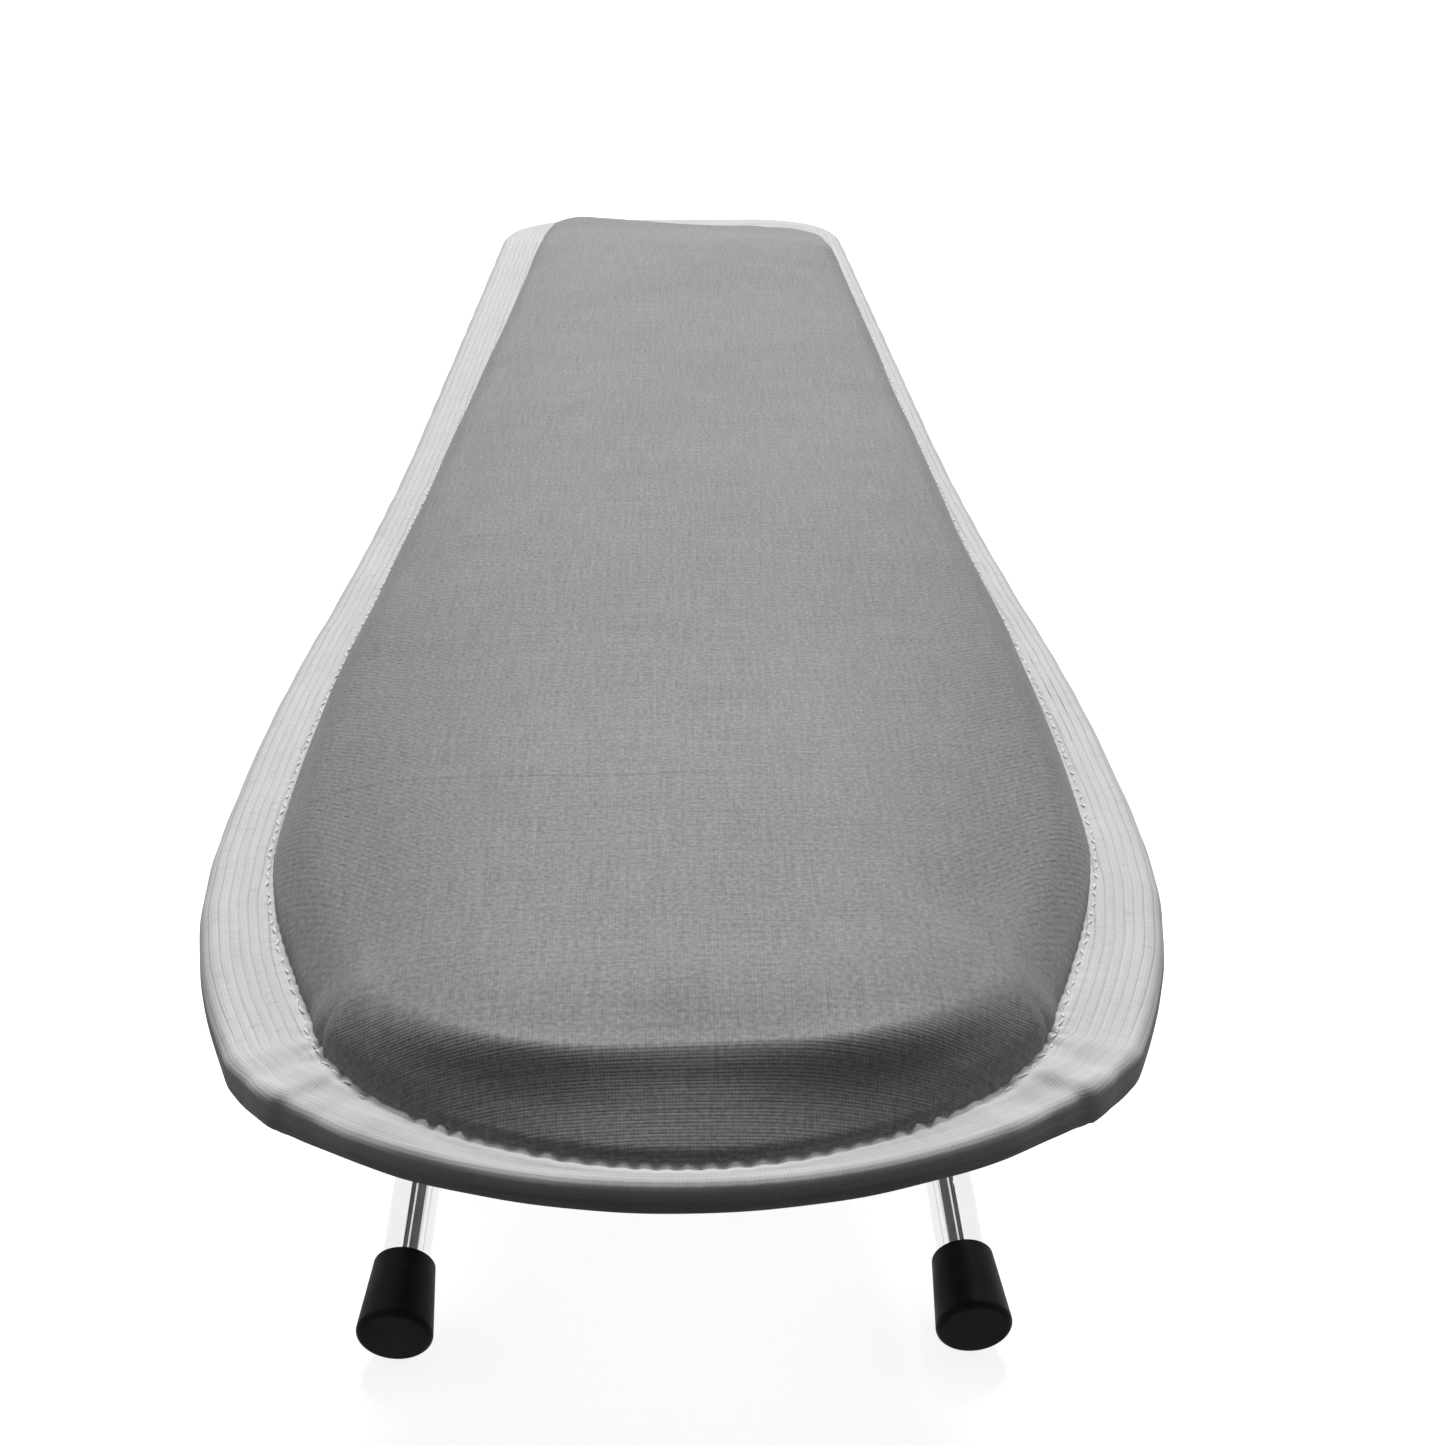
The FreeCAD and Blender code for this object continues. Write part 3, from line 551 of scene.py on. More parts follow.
# Level run of the pad's side from its foot to the top: (mm from the wide end, mm).
SIDE_RUN = [(8, 6.0), (24, 9.5), (50, 10.0), (80, 11.0), (110, 11.0), (180, 7.0), (490, 4.6)]
ROLL_FROM_TIP = 14.3 * MM      # the foam's straight front edge
PAD_FRONT_DROP = 0.65 * MM
ROLL_RISE = 0.8 * MM
CROWN = 0.6 * MM
ROLL_SOFTENING = 7.0 * MM
SPINE_START, SPINE_SHORTER = 0.052, 0.092      # m from the wide end, m less than the board
THIN_FROM, THIN_REACH = 412, 58                # mm from the wide end
THINNER, THINNER_RIGHT = 3.8, 2.7              # mm at the narrow end, and more towards the right
SIDE_CURVE = np.array([[0.0, 0.0], [0.12, 0.70], [0.32, 1.0], [1.0, 1.0]])      # Bezier points (run, rise)
FRONT_CURVE = np.array([[0.0, 0.0], [0.68, 0.46], [0.76, 1.06], [1.0, 1.0]])
BULGE_RINGS, SHOULDER_RINGS, TOP_RINGS = 6, 18, 13
COVER_SAMPLES, CORE_SAMPLES = 1400, 460
CORE_INSET, SIM_INSET = 0.75 * MM, 0.02 * MM
COVER_THICKNESS = 0.5 * MM


def stitches_wave(loop):
    """Pull of the seam's stitches round the board, and its uneven strength."""
    strength = 0.62 + 0.38 * loop.wander(21 * MM, 1.3)
    front = 0.55 + 0.6 * smooth((70 - loop.tip) / 45)
    return loop.wave(STITCH_PITCH, 0.4, 0.8) * strength * front


def spine(loop):
    """Point of the board's middle line that each sample's strip runs to."""
    share = 1 - np.abs(loop.signed) / (loop.length / 2)
    y = -HALF_LENGTH + SPINE_START + (1 - share) * (2 * HALF_LENGTH - SPINE_SHORTER)
    return np.stack([np.zeros(loop.count), y], 1)


def pad_top(plan):
    """Height of the top over plan points: raised at the roll, thinner towards the far right corner."""
    across, tip = plan[:, 0] / MM, (plan[:, 1] + HALF_LENGTH) / MM
    raised = ROLL_RISE * smooth((45 - tip) / 30)
    thinner = THINNER + THINNER_RIGHT * smooth((across + 35) / 50)
    return PAD_TOP + raised - smooth((tip - THIN_FROM) / THIN_REACH) * thinner * MM


def top_edge(loop, seam, shrink):
    """Plan of the line where the sides roll over into the top: straight across in front."""
    plan = loop.at(seam + loop.from_tip(SIDE_RUN) * MM + shrink)
    plan[:, 1] = np.maximum(plan[:, 1], -HALF_LENGTH + ROLL_FROM_TIP + shrink)
    return loop.soften(plan, ROLL_SOFTENING)


def shoulder_curve(t, front):
    """Side of the pad as shares of its run and rise; in front it flares, then rises steeply."""
    points = SIDE_CURVE[:, :, None] * (1 - front) + FRONT_CURVE[:, :, None] * front
    weights = ((1 - t) ** 3, 3 * t * (1 - t) ** 2, 3 * t * t * (1 - t), t ** 3)
    return sum(w * p for w, p in zip(weights, points))


def pad_rings(loop, shrink=0.0):
    """Rings of the padded top from the seam to the middle line, each (plan points, heights)."""
    seam = seam_inset(loop)
    pull = stitches_wave(loop) if not shrink else np.zeros(loop.count)
    rings = []
    low = PAD_LOW - PAD_FRONT_DROP * front_share(loop)
    front = (1 - smooth((np.abs(loop.p[:, 0]) / MM - 20) / 34)) * smooth((60 - loop.tip) / 20)
    roll = top_edge(loop, seam, shrink)
    foot = loop.at(seam - BULGE_OUT)
    shoulder = pad_top(roll) - low - BULGE_HEIGHT
    for j in range(BULGE_RINGS):
        a = math.pi / 2 * j / (BULGE_RINGS - 1)
        inset = seam + TUCK_IN - (TUCK_IN + BULGE_OUT) * math.sin(a)
        inset = inset + pull * 0.40 * MM * math.cos(a * 0.7) ** 2 + shrink
        height = low + BULGE_HEIGHT * (1 - math.cos(a)) + shrink * (1 - j / (BULGE_RINGS - 1)) * 0.5
        rings.append((loop.at(inset), height))
    for j in range(1, SHOULDER_RINGS + 1):
        a = math.pi / 2 * j / SHOULDER_RINGS
        across, up = shoulder_curve(j / SHOULDER_RINGS, front)
        plan = foot + (roll - foot) * across[:, None] + loop.n * shrink * math.cos(a)
        height = low + BULGE_HEIGHT + shoulder * up - shrink * math.sin(a)
        rings.append((plan, height))
    edge, middle = rings[-1][0], spine(loop)
    for j in range(1, TOP_RINGS + 1):
        w = j / TOP_RINGS
        plan = edge + (middle - edge) * w
        rings.append((plan, pad_top(plan) - shrink + CROWN * smooth(w)))
    return rings


def ring_points(rings):
    """Grid (samples, rings, 3) of the rings' points."""
    return np.stack([np.concatenate([p, z[:, None]], 1) for p, z in rings], 1)


def cloth_uv(loop, grid):
    """Flat position of every point: the shoulders unrolled outwards from the top's edge."""
    top = BULGE_RINGS + SHOULDER_RINGS - 1
    uv = grid[:, :, :2].copy()
    step = np.linalg.norm(np.diff(grid, axis=1), axis=2)
    for j in range(top - 1, -1, -1):
        uv[:, j] = uv[:, j + 1] - loop.n * step[:, j, None]
    return uv


VOXEL = 4.0 * MM
SIM_FRAMES = 20
HELD_UP_TO, HELD_FADE = 3.2 * MM, 2.4 * MM     # above the felt
SIM_CAP = 1.5 * MM
SIM_SOFTENING = 9.0 * MM
CALM_FROM, CALM_REACH = 0.150, 0.045           # y where the simulated shape fades out


def simulate(points, faces):
    """Inflates a remeshed copy of the pad as cloth; returns its surface before, and how far it moved."""
    mesh = make_mesh("pad_sim", points, faces)
    sim = bpy.data.objects.new("pad_sim", mesh)
    bpy.context.scene.collection.objects.link(sim)
    remesh = sim.modifiers.new("voxels", "REMESH")
    remesh.mode = "VOXEL"
    remesh.voxel_size = VOXEL
    rounded = evaluated_mesh(sim)
    sim.modifiers.clear()
    sim.data = rounded
    before = np.array([v.co for v in rounded.vertices])
    polygons = [tuple(p.vertices) for p in rounded.polygons]
    tree = BVHTree.FromPolygons([Vector(p) for p in before], polygons)
    group = sim.vertex_groups.new(name="held")
    held = np.clip((FELT_TOP + HELD_UP_TO - before[:, 2]) / HELD_FADE, 0, 1)
    for i in np.flatnonzero(held > 0):
        group.add([int(i)], float(held[i]), "REPLACE")
    cloth = sim.modifiers.new("cloth", "CLOTH")
    settings = cloth.settings
    settings.quality = 6
    settings.mass = 0.15
    settings.tension_stiffness = 18
    settings.compression_stiffness = 12
    settings.shear_stiffness = 6
    settings.bending_stiffness = 0.4
    settings.vertex_group_mass = "held"
    settings.use_pressure = True
    settings.uniform_pressure_force = 4.0
    settings.effector_weights.gravity = 0.0
    cloth.collision_settings.use_collision = False
    cloth.collision_settings.use_self_collision = False
    for step in range(1, SIM_FRAMES + 1):
        bpy.context.scene.frame_set(step)
    after = np.array([v.co for v in evaluated_mesh(sim).vertices])
    bpy.context.scene.frame_set(1)
    bpy.data.objects.remove(sim)
    return tree, polygons, before, after - before


def carry(sim, grid, loop):
    """Displacement of the simulated pad at every point of a grid, evened out round the board."""
    tree, polygons, before, moved = sim
    distance = np.linalg.norm(moved, axis=1, keepdims=True)
    moved = moved * SIM_CAP * np.tanh(distance / SIM_CAP) / np.maximum(distance, 1e-9)
    flat = grid.reshape(-1, 3)
    out = np.zeros_like(flat)
    for i, point in enumerate(flat):
        place, _, index, _ = tree.find_nearest(Vector(point))
        corners = polygons[index]
        weights = poly_3d_calc([Vector(before[c]) for c in corners], place)
        out[i] = sum(w * moved[c] for w, c in zip(weights, corners))
    out *= 1 - smooth((flat[:, 1:2] - CALM_FROM) / CALM_REACH)
    return loop.soften(out.reshape(loop.count, -1), SIM_SOFTENING).reshape(grid.shape)


def settle(grid):
    """Slight unevenness of a used pad: broad hollows and soft folds along its length."""
    x, y = grid[..., 0] / MM, grid[..., 1] / MM
    lift = 0.16 * np.sin(x / 17 + 0.6 * np.sin(y / 60)) * np.sin(y / 38 + 1.0)
    lift += 0.10 * np.sin(x / 9.1 + y / 83 + 2.0) + 0.07 * np.sin(y / 13.7 - x / 31)
    lift *= 1 - smooth((y - 150) / 80)
    out = grid.copy()
    out[..., 2] += lift * MM * smooth((grid[..., 2] - PAD_TOP + 5 * MM) / (4 * MM))
    return out


MIDDLE_REACH, MIDDLE_GAP, TINY_EDGE = 0.3 * MM, 0.02 * MM, 0.001 * MM


def merge_middle(made):
    """Joins the two halves of a top along the middle line."""
    work = bmesh.new()
    work.from_mesh(made.data)
    middle = [v for v in work.verts if abs(v.co.x) < MIDDLE_REACH]
    bmesh.ops.remove_doubles(work, verts=middle, dist=MIDDLE_GAP)
    bmesh.ops.dissolve_degenerate(work, edges=work.edges, dist=TINY_EDGE)
    work.to_mesh(made.data)
    work.free()


def closed_pad(grid):
    """Points and faces of a pad's grid closed by a flat bottom along the same strips."""
    bottom = grid[:, ::-1][:, :TOP_RINGS:4].copy()
    bottom[..., 2] = PAD_LOW
    ring = np.concatenate([bottom, grid], 1)
    return ring.reshape(-1, 3), grid_faces(len(ring), ring.shape[1], flip=True)


def ride_as(made, body, slot, *replaced):
    """Puts a piece on its body, in place of the CAD nodes it replaces; the slot is not used."""
    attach(made, body)
    if replaced:
        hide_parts(*replaced)


def make_pad():
    """The foam core and the grey cover stretched over it."""
    loop, core_loop = Loop(COVER_SAMPLES), Loop(CORE_SAMPLES)
    grid = ring_points(pad_rings(loop))
    core = ring_points(pad_rings(core_loop, CORE_INSET))
    sim = simulate(*closed_pad(ring_points(pad_rings(core_loop, SIM_INSET))))
    grid = grid + carry(sim, grid, loop)
    core = core + carry(sim, core, core_loop)
    uv = cloth_uv(loop, grid)
    grid, core = settle(grid), settle(core)
    faces = grid_faces(*grid.shape[:2], flip=True)
    mesh = make_mesh("grey_cover", grid.reshape(-1, 3), faces, uv.reshape(-1, 2))
    cover = make_object("grey_cover", mesh, MATERIALS["grey_cloth"])
    merge_middle(cover)
    solidify(cover, COVER_THICKNESS)
    ride_as(cover, "board", "grey_cloth", "cover_top")
    points, faces = closed_pad(core)
    foam = make_object("foam_core", make_mesh("foam_core", points, faces), MATERIALS["foam"])
    merge_middle(foam)
    ride_as(foam, "board", "foam", "foam_pad")


make_pad()

# ---- white band ------------------------------------------------------------
BAND_TOP = BAND_HIGH.z
RIM_R = (1.25 * MM, 2.6 * MM)    # in front, at the sides
RIM_LOW = BAND_LOW.z
CORD_LOW, CORD_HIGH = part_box("hem_cord")
CORD_Z = (CORD_LOW.z + CORD_HIGH.z) / 2
CORD_INSET = HALF_LENGTH + CORD_LOW.y + 1.2 * MM
CASING_R = 1.55 * MM
HEM_R = 1.1 * MM                 # of the turn under the rim
HEM_INSET = 0.25 * MM            # where that turn begins
LIP_LOWER, RIM_HIGHER = 0.8 * MM, 0.4 * MM       # in front
TAPE_THICKNESS = 0.4 * MM
TAPE_SAMPLES = 1500
# Corner folds: (mm round the board from the wide end's middle, size), and the (shift, depth, width)
# of the dents beside each in mm.
CORNERS = ((52.0, 1.0), (-53.0, 0.8))
DENTS = ((-6.5, -0.22, 1.9), (-12.0, 0.2, 2.0), (5.5, -0.2, 1.6), (10.5, 0.18, 2.0))
GATHERS = ((4.3 * MM, 0.3, 0.30), (6.1 * MM, 1.9, 0.22), (9.7 * MM, 3.1, 0.14))    # (length, phase, mm)
LIP, TOP, ROUND, SIDE, HEM, UNDER, CASING = 8, 34, 10, 7, 5, 12, 13                # rings


def rim_radius(loop):
    """Radius over which the tape turns down: tight in front, softer along the sides."""
    return np.interp(loop.tip, (22, 50), RIM_R)[:, None]


def band_profile(loop):
    """Inset and height of every ring of the band, (samples, rings) each, and each ring's kind.

    Kinds: 0 lip at the seam, 1 top, 2 rim, 3 to 4 hem underneath, 4 casing of the cord.
    """
    seam = seam_inset(loop)[:, None]
    one = np.ones((loop.count, 1))
    pull = stitches_wave(loop)[:, None]
    front = smooth((20 - loop.tip) / 15)[:, None]
    rim_r = rim_radius(loop)
    lowered = front_share(loop)[:, None]
    lip_top = BAND_TOP - LIP_LOWER * lowered
    bottom = RIM_LOW + RIM_HIGHER * lowered
    insets, heights, kinds = [], [], []

    def add(inset, height, kind):
        insets.append(inset * one)
        heights.append(height * one)
        kinds.append(kind)

    for j in range(LIP):
        a = math.pi * (0.12 + 0.76 * j / (LIP - 1))
        tucked = 1.0 * MM * max(0.0, 1 - 2.2 * j / (LIP - 1))
        add(seam + 0.05 * MM + 0.5 * MM * math.cos(a) + pull * 0.42 * MM,
            lip_top - 0.25 * MM + 0.42 * MM * math.sin(a) - tucked + 0.14 * MM * pull, 0)
    start = seam - 0.75 * MM
    for j in range(1, TOP + 1):
        w = j / TOP
        inset = start + (rim_r - start) * w
        gone = start - inset
        dip = -0.34 * MM * np.exp(-((gone - 0.95 * MM) / (0.6 * MM)) ** 2)
        slope = -0.5 * MM * smooth(gone / (9 * MM)) * (1 - front) - 0.55 * MM * front * w
        add(inset, lip_top + dip + slope + 0.22 * MM * pull * np.exp(-gone / (1.5 * MM)), 1)
    crest = heights[-1]
    for j in range(1, ROUND + 1):
        a = math.pi / 2 * j / ROUND
        add(rim_r * (1 - math.sin(a)), crest - rim_r * (1 - math.cos(a)), 2)
    for j in range(1, SIDE + 1):
        w = j / SIDE
        add(HEM_INSET * w ** 2 - 0.18 * MM * math.sin(math.pi * w),
            (crest - rim_r) * (1 - w) + (bottom + HEM_R) * w, 2)
    for j in range(1, HEM + 1):
        a = math.pi / 2 * j / HEM
        add(HEM_INSET + HEM_R * (1 - math.cos(a)), bottom + HEM_R * (1 - math.sin(a)), 3)
    start, reach = HEM_INSET + HEM_R, CORD_INSET - 1.5 * MM
    for j in range(1, UNDER + 1):
        w = j / UNDER
        add(start + (reach - start) * w, bottom + (CORD_Z - CASING_R * 0.75 - bottom) * smooth(w), 3 + w)
    for j in range(1, CASING + 1):
        a = math.radians(220 + 290 * j / CASING)
        add(CORD_INSET + CASING_R * math.cos(a), CORD_Z + CASING_R * math.sin(a), 4)
    return np.concatenate(insets, 1), np.concatenate(heights, 1), np.array(kinds, float)


def band_relief(loop, inset, kinds, seam):
    """How far each point of the band stands off its profile: ribs, wrinkles, corner folds and gathers."""
    tip = loop.tip[:, None]
    front = smooth((30 - tip) / 12)
    sides = 1 - 0.9 * front
    top = (kinds[None] >= 1) & (kinds[None] <= 2)
    clear = smooth((seam - 2.2 * MM - inset) / (1.0 * MM))
    across = across_distance(inset, kinds, rim_radius(loop))
    groove = np.cos(np.pi * across / RIB_PITCH) ** 12
    ribs = -0.10 * groove * sides * np.where(kinds[None] == 2, 0.8, clear) * top
    drift = 1.9 * loop.wander(60 * MM, 0.7)[:, None]
    long_folds = 0.13 * front * np.sin(across / (0.85 * MM) + drift)
    long_folds = long_folds * (0.6 + 0.4 * loop.wander(33 * MM, 2.9)[:, None]) * top * clear
    waves = 0.06 * loop.wander(24 * MM, 4.2)[:, None] * np.where(kinds[None] >= 2, 1.0, 0.5)
    gathers = sum(size * loop.wave(length, phase, 1.1) for length, phase, size in GATHERS)[:, None]
    gathers = gathers * smooth(kinds[None] - 3.0)
    beside = smooth(1 - (seam - inset) / (4.5 * MM)) * top
    pinches = 0.26 * beside * np.exp(-((np.abs(loop.signed[:, None]) / MM - 58) / 17) ** 2)
    pinches = pinches * loop.wave(4.8 * MM, 1.1, 0.9)[:, None]
    relief = ribs + long_folds + waves * (kinds[None] >= 1) + gathers + pinches
    for place, size in CORNERS:
        away = loop.signed[:, None] / MM - place
        lean = away + 0.32 * (inset / MM) * math.copysign(1, place)
        steep = np.where(lean * place > 0, 4.5, 1.0)
        ridge = np.exp(-np.abs(lean / steep) ** 1.6)
        weight = np.where(kinds[None] >= 3, 0.3, smooth((seam - inset) / (6 * MM)))
        weight = np.where(kinds[None] <= 0, 0.25, weight)
        relief = relief + 0.72 * size * ridge * weight
        strength = np.where(top, smooth((seam - inset) / (5 * MM)) * 0.6 + 0.4, 0.15)
        for shift, depth, width in DENTS:
            dent = np.exp(-(((lean * math.copysign(1, place)) - shift) / width) ** 2)
            relief = relief + depth * size * dent * strength
    return relief * MM


def across_distance(inset, kinds, rim_r):
    """Distance round the rim from its outermost line, used for the tape's ribs."""
    arc = rim_r * math.pi / 2
    rim = rim_r * np.arcsin(np.clip(1 - inset / rim_r, -1, 1))
    return np.where(kinds[None] == 1, arc + inset - rim_r, arc - rim)


def make_band():
    """White tape from the seam over the rim to the cord's casing underneath."""
    loop = Loop(TAPE_SAMPLES)
    seam = seam_inset(loop)[:, None]
    inset, height, kinds = band_profile(loop)
    relief = band_relief(loop, inset, kinds, seam)
    d_inset = np.gradient(inset, axis=1)
    d_height = np.gradient(height, axis=1)
    size = np.maximum(np.hypot(d_inset, d_height), 1e-9)
    inset = inset + d_height / size * relief
    height = height - d_inset / size * relief
    grid = np.stack([
        loop.p[:, 0, None] + loop.n[:, 0, None] * inset,
        loop.p[:, 1, None] + loop.n[:, 1, None] * inset,
        height,
    ], 2)
    rows, columns = grid.shape[:2]
    step = np.linalg.norm(np.diff(grid, axis=1), axis=2)
    run = np.concatenate([np.zeros((rows, 1)), np.cumsum(step, 1)], 1)
    rim = LIP + TOP + ROUND - 1
    uv = np.stack([np.repeat(loop.s[:, None], columns, 1), run[:, rim, None] - run], 2)
    faces = grid_faces(rows, columns)
    mesh = make_mesh("edge_tape", grid.reshape(-1, 3), faces, uv.reshape(-1, 2), loop.length)
    band = make_object("edge_tape", mesh, MATERIALS["white_tape"])
    solidify(band, TAPE_THICKNESS)
    ride_as(band, "board", "white_tape", "edge_band")
    return band


CORD_SAMPLES, CORD_SIDES = 1200, 8
CORD_R, CORD_RIPPLE, CORD_TWIST = 1.0 * MM, 0.08, 2.2 * MM


def make_cord():
    """Closed elastic cord in the hem, round the board."""
    loop = Loop(CORD_SAMPLES)
    centre = loop.at(np.full(loop.count, CORD_INSET))
    spin = 2 * np.pi * round(loop.length / CORD_TWIST) * loop.s / loop.length
    grid = []
    for a in np.linspace(0, 2 * np.pi, CORD_SIDES, endpoint=False):
        r = CORD_R * (1 + CORD_RIPPLE * np.sin(spin + 2 * a))
        plan = centre + loop.n * (r * math.cos(a))[:, None]
        grid.append(np.concatenate([plan, (CORD_Z + r * math.sin(a))[:, None]], 1))
    grid = np.stack(grid, 1)
    mesh = make_mesh("hem_elastic", grid.reshape(-1, 3), grid_faces(loop.count, CORD_SIDES, True, True))
    cord = make_object("hem_elastic", mesh, MATERIALS["elastic_cord"])
    ride_as(cord, "board", "elastic_cord", "hem_cord")


STITCHES_FROM = 13.0    # mm from the wide end; in front of this the cover's edge hides them
STITCH_HALF = 1.05 * MM
STITCH_R = 0.21 * MM
STITCH_SIDES, STITCH_RINGS = 6, 7
SEAM_SAMPLES = 9000


def make_stitches(band):
    """Short slanted stitches beside the seam, each dipping into its two holes."""
    polygons = [tuple(f.vertices) for f in band.data.polygons]
    surface = BVHTree.FromPolygons([v.co for v in band.data.vertices], polygons)
    fine = Loop(SEAM_SAMPLES)
    seam = seam_inset(fine)
    count = round(fine.length / STITCH_PITCH)
    sides, rings = STITCH_SIDES, STITCH_RINGS
    points, faces = [], []
    for k in range(count):
        wobble = math.sin(k * 2.39) * 0.12
        index = int((k + 0.5 + wobble) * fine.count / count) % fine.count
        if fine.tip[index] < STITCHES_FROM:
            continue
        first = len(points)
        base = fine.p[index] + fine.n[index] * (seam[index] - (1.75 + 0.1 * math.sin(k * 1.7)) * MM)
        slant = (0.24 if k % 2 else -0.20) + 0.08 * math.sin(k * 3.1)
        ahead = fine.t[index] * math.cos(slant) + fine.n[index] * math.sin(slant)
        across = np.array([-ahead[1], ahead[0]])
        reach = STITCH_HALF * (0.85 + 0.15 * math.sin(k * 0.9))
        for r in range(rings):
            w = 2 * r / (rings - 1) - 1
            centre = base + ahead * reach * w
            above = Vector((centre[0], centre[1], BAND_TOP + 4 * MM))
            ground = surface.ray_cast(above, Vector((0, 0, -1)))[0]
            lift = (ground.z if ground else BAND_TOP) + (0.13 - 0.42 * abs(w) ** 3.2) * MM + TAPE_THICKNESS
            radius = STITCH_R * (1 - 0.35 * abs(w) ** 2)
            for q in range(sides):
                a = 2 * math.pi * q / sides
                plan = centre + across * radius * math.cos(a)
                points.append((plan[0], plan[1], lift + radius * 0.8 * math.sin(a)))
        for r in range(rings - 1):
            for q in range(sides):
                a, b = first + r * sides + q, first + r * sides + (q + 1) % sides
                faces.append((a, b, b + sides, a + sides))
        faces.append(tuple(first + q for q in reversed(range(sides))))
        faces.append(tuple(first + (rings - 1) * sides + q for q in range(sides)))
    mesh = make_mesh("seam_stitches", points, faces)
    made = make_object("seam_stitches", mesh, MATERIALS["stitch"])
    ride_as(made, "board", "white_tape")


FELT_SAMPLES = 500
FELT_INSET, FELT_INSET_FRONT = 2.2, 5.0        # mm, and more in front
FELT_EDGE = 0.5 * MM
FELT_SHARES = (0.02, 0.1, 0.25, 0.5, 0.75, 1.0)


def make_felt():
    """Felt sheet on the deck, seen through the vent holes from below."""
    loop = Loop(FELT_SAMPLES)
    low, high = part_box("felt_underlay")
    thick = high.z - low.z
    inset = (FELT_INSET + FELT_INSET_FRONT * front_share(loop)) * MM
    middle = spine(loop)
    rings = []

    def ring(extra, height, toward=0.0):
        plan = loop.at(inset + extra)
        plan = plan + (middle - plan) * toward
        fuzz = 0.05 * MM * np.sin(plan[:, 0] / (2.1 * MM)) * np.sin(plan[:, 1] / (1.7 * MM) + 0.4)
        rings.append(np.concatenate([plan, (height + fuzz * min(1.0, toward * 9))[:, None]], 1))

    for w in reversed(FELT_SHARES):
        ring(FELT_EDGE, low.z, w)
    for a in np.radians(np.linspace(-90, 90, 7)):
        ring(FELT_EDGE - FELT_EDGE * math.cos(a), low.z + thick / 2 + thick / 2 * math.sin(a))
    for w in FELT_SHARES:
        ring(FELT_EDGE, high.z, w)
    grid = np.stack(rings, 1)
    mesh = make_mesh("felt_sheet", grid.reshape(-1, 3), grid_faces(loop.count, grid.shape[1], flip=True))
    felt = make_object("felt_sheet", mesh, MATERIALS["felt"])
    merge_middle(felt)
    ride_as(felt, "board", "felt", "felt_underlay")


make_felt()
edge_tape = make_band()
make_cord()
make_stitches(edge_tape)

# ---- CAD nodes that stay ---------------------------------------------------
SLOT_OF = {row["node"]: row["material_slot"] for row in frame["record"]["subparts"]}


def dress_nodes():
    """Gives every CAD node that shows its detailed material."""
    for name, node in frame["nodes"].items():
        if node.hide_render:
            continue
        material = MATERIALS[SLOT_OF[name]]
        if not node.material_slots:
            node.data.materials.append(material)
        for slot in node.material_slots:
            slot.material = material


dress_nodes()

# ---- floor and light -------------------------------------------------------
FLOOR_R = 6.0
FLOOR_GLOW, SURROUND_GLOW = 0.86, 1.0
MIRRORED_LOW, MIRRORED_HIGH = 0.3, 0.85
PANELS = 5.0
WORLD_STRENGTH = 0.03


def stage_material(name, colour, glow):
    """Matt white that also glows by itself."""
    s = Shader(name)
    mottle = s.noise(s.coords(), 3.0, 2.0)
    s.set(Base_Color=s.scale_colour(colour, s.ramp(mottle, 0.3, 0.7, 0.98, 1.0)), Roughness=0.9,
          Specular_IOR_Level=0.0)
    s.put(s.bsdf.inputs["Emission Color"], (1, 1, 1, 1))
    s.put(s.bsdf.inputs["Emission Strength"], glow)
    return s.material


def glow_material(name, low, high):
    """Surround for reflections: dimmer towards the floor, with darker panels round the walls."""
    s = Shader(name)
    at = s.xyz(s.coords())
    height = at[2]
    round_about = s.math("SINE", s.math("MULTIPLY", s.math("ARCTAN2", at[0], at[1]), PANELS))
    panels = s.math("MULTIPLY", s.ramp(round_about, 0.0, 0.5), s.ramp(height, 2.5, 4.5, 0.72, 0.0))
    s.set(Base_Color=(0, 0, 0, 1), Specular_IOR_Level=0.0)
    s.put(s.bsdf.inputs["Emission Color"], (1, 1, 1, 1))
    shade = s.math("MULTIPLY", s.ramp(height, -1.0, 3.0, low, high), s.math("SUBTRACT", 1.0, panels))
    s.put(s.bsdf.inputs["Emission Strength"], shade)
    return s.material


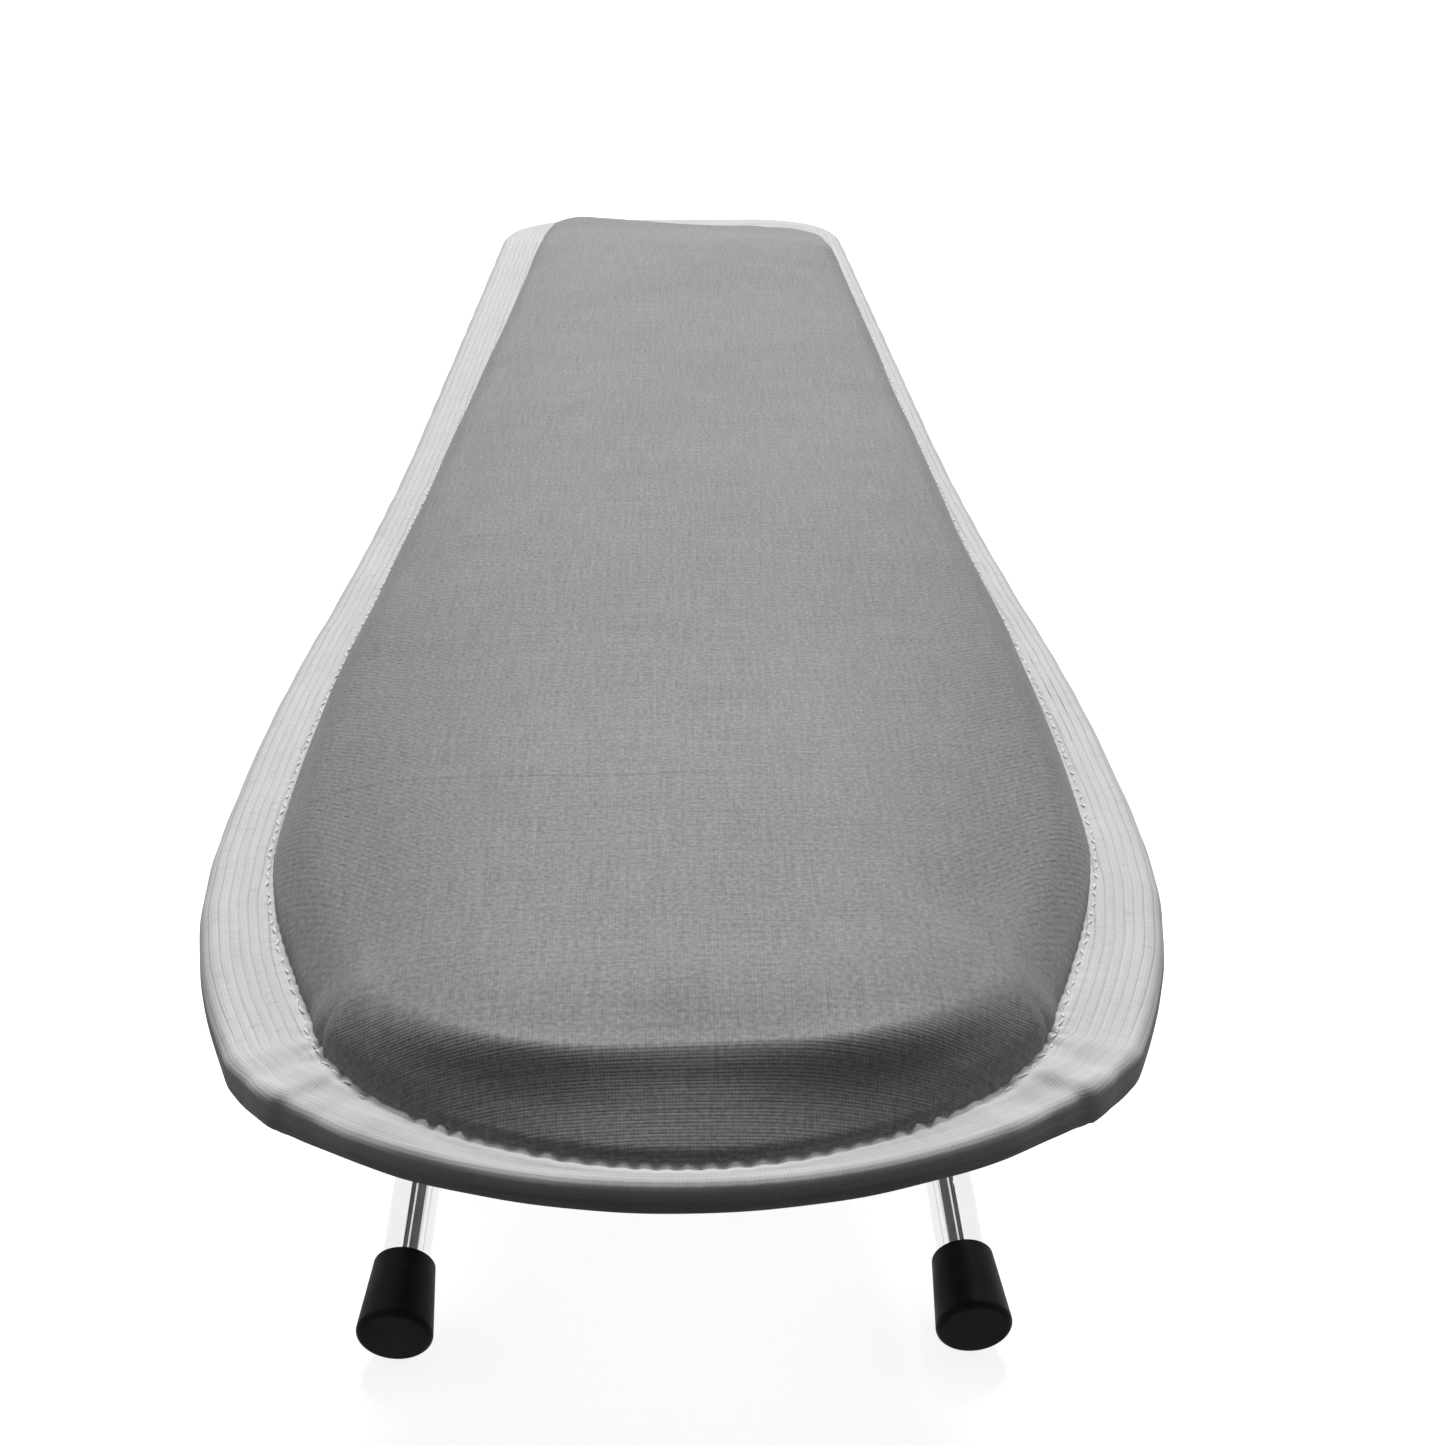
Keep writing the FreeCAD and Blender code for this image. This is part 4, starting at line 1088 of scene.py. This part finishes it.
def make_stage():
    """Floor and white surround seen by the camera but not mirrored, and a sphere that is only mirrored."""
    mesh = bpy.data.meshes.new("floor")
    work = bmesh.new()
    bmesh.ops.create_circle(work, cap_ends=True, segments=96, radius=FLOOR_R)
    work.to_mesh(mesh)
    work.free()
    floor = make_object("floor", mesh, stage_material("floor_white", (0.5, 0.5, 0.5), FLOOR_GLOW))
    floor.location.z = -0.0002
    floor.visible_diffuse = False
    floor.visible_glossy = False
    mesh = bpy.data.meshes.new("surround")
    work = bmesh.new()
    bmesh.ops.create_uvsphere(work, u_segments=48, v_segments=24, radius=FLOOR_R * 0.98)
    work.to_mesh(mesh)
    work.free()
    white = stage_material("surround_white", (0.0, 0.0, 0.0), SURROUND_GLOW)
    surround = make_object("surround", mesh, white)
    surround.visible_glossy = False
    surround.visible_diffuse = False
    surround.visible_shadow = False
    glow = glow_material("reflections", MIRRORED_LOW, MIRRORED_HIGH)
    reflections = make_object("reflections", mesh.copy(), glow)
    reflections.visible_camera = False
    reflections.visible_diffuse = False
    reflections.visible_shadow = False


def area_light(name, at, aim, size, power, mirrored=True):
    """Round soft light; the fills aren't mirrored in the chrome."""
    data = bpy.data.lights.new(name, "AREA")
    data.shape = "DISK"
    data.size = size
    data.energy = power
    light = bpy.data.objects.new(name, data)
    bpy.context.scene.collection.objects.link(light)
    light.location = at
    light.visible_glossy = mirrored
    light.rotation_euler = (Vector(aim) - Vector(at)).to_track_quat("-Z", "Y").to_euler()


make_stage()
area_light("key", (0.1, 2.84, 4.04), (0, 0.0, 0.1), 2.1, 300.0)
area_light("fill_left", (-1.2, 0.25, 0.8), (0, 0, 0.1), 0.9, 2.2, False)
area_light("fill_right", (1.2, 0.25, 0.8), (0, 0, 0.1), 0.9, 2.2, False)
area_light("front", (0.1, -1.5, 0.9), (0, -0.1, 0.08), 0.8, 0.7)

world = bpy.data.worlds.new("world")
bpy.context.scene.world = world
world.use_nodes = True
world.node_tree.nodes["Background"].inputs[0].default_value = (1, 1, 1, 1)
world.node_tree.nodes["Background"].inputs[1].default_value = WORLD_STRENGTH

bpy.context.scene.view_settings.view_transform = "Standard"
bpy.context.scene.view_settings.look = "None"
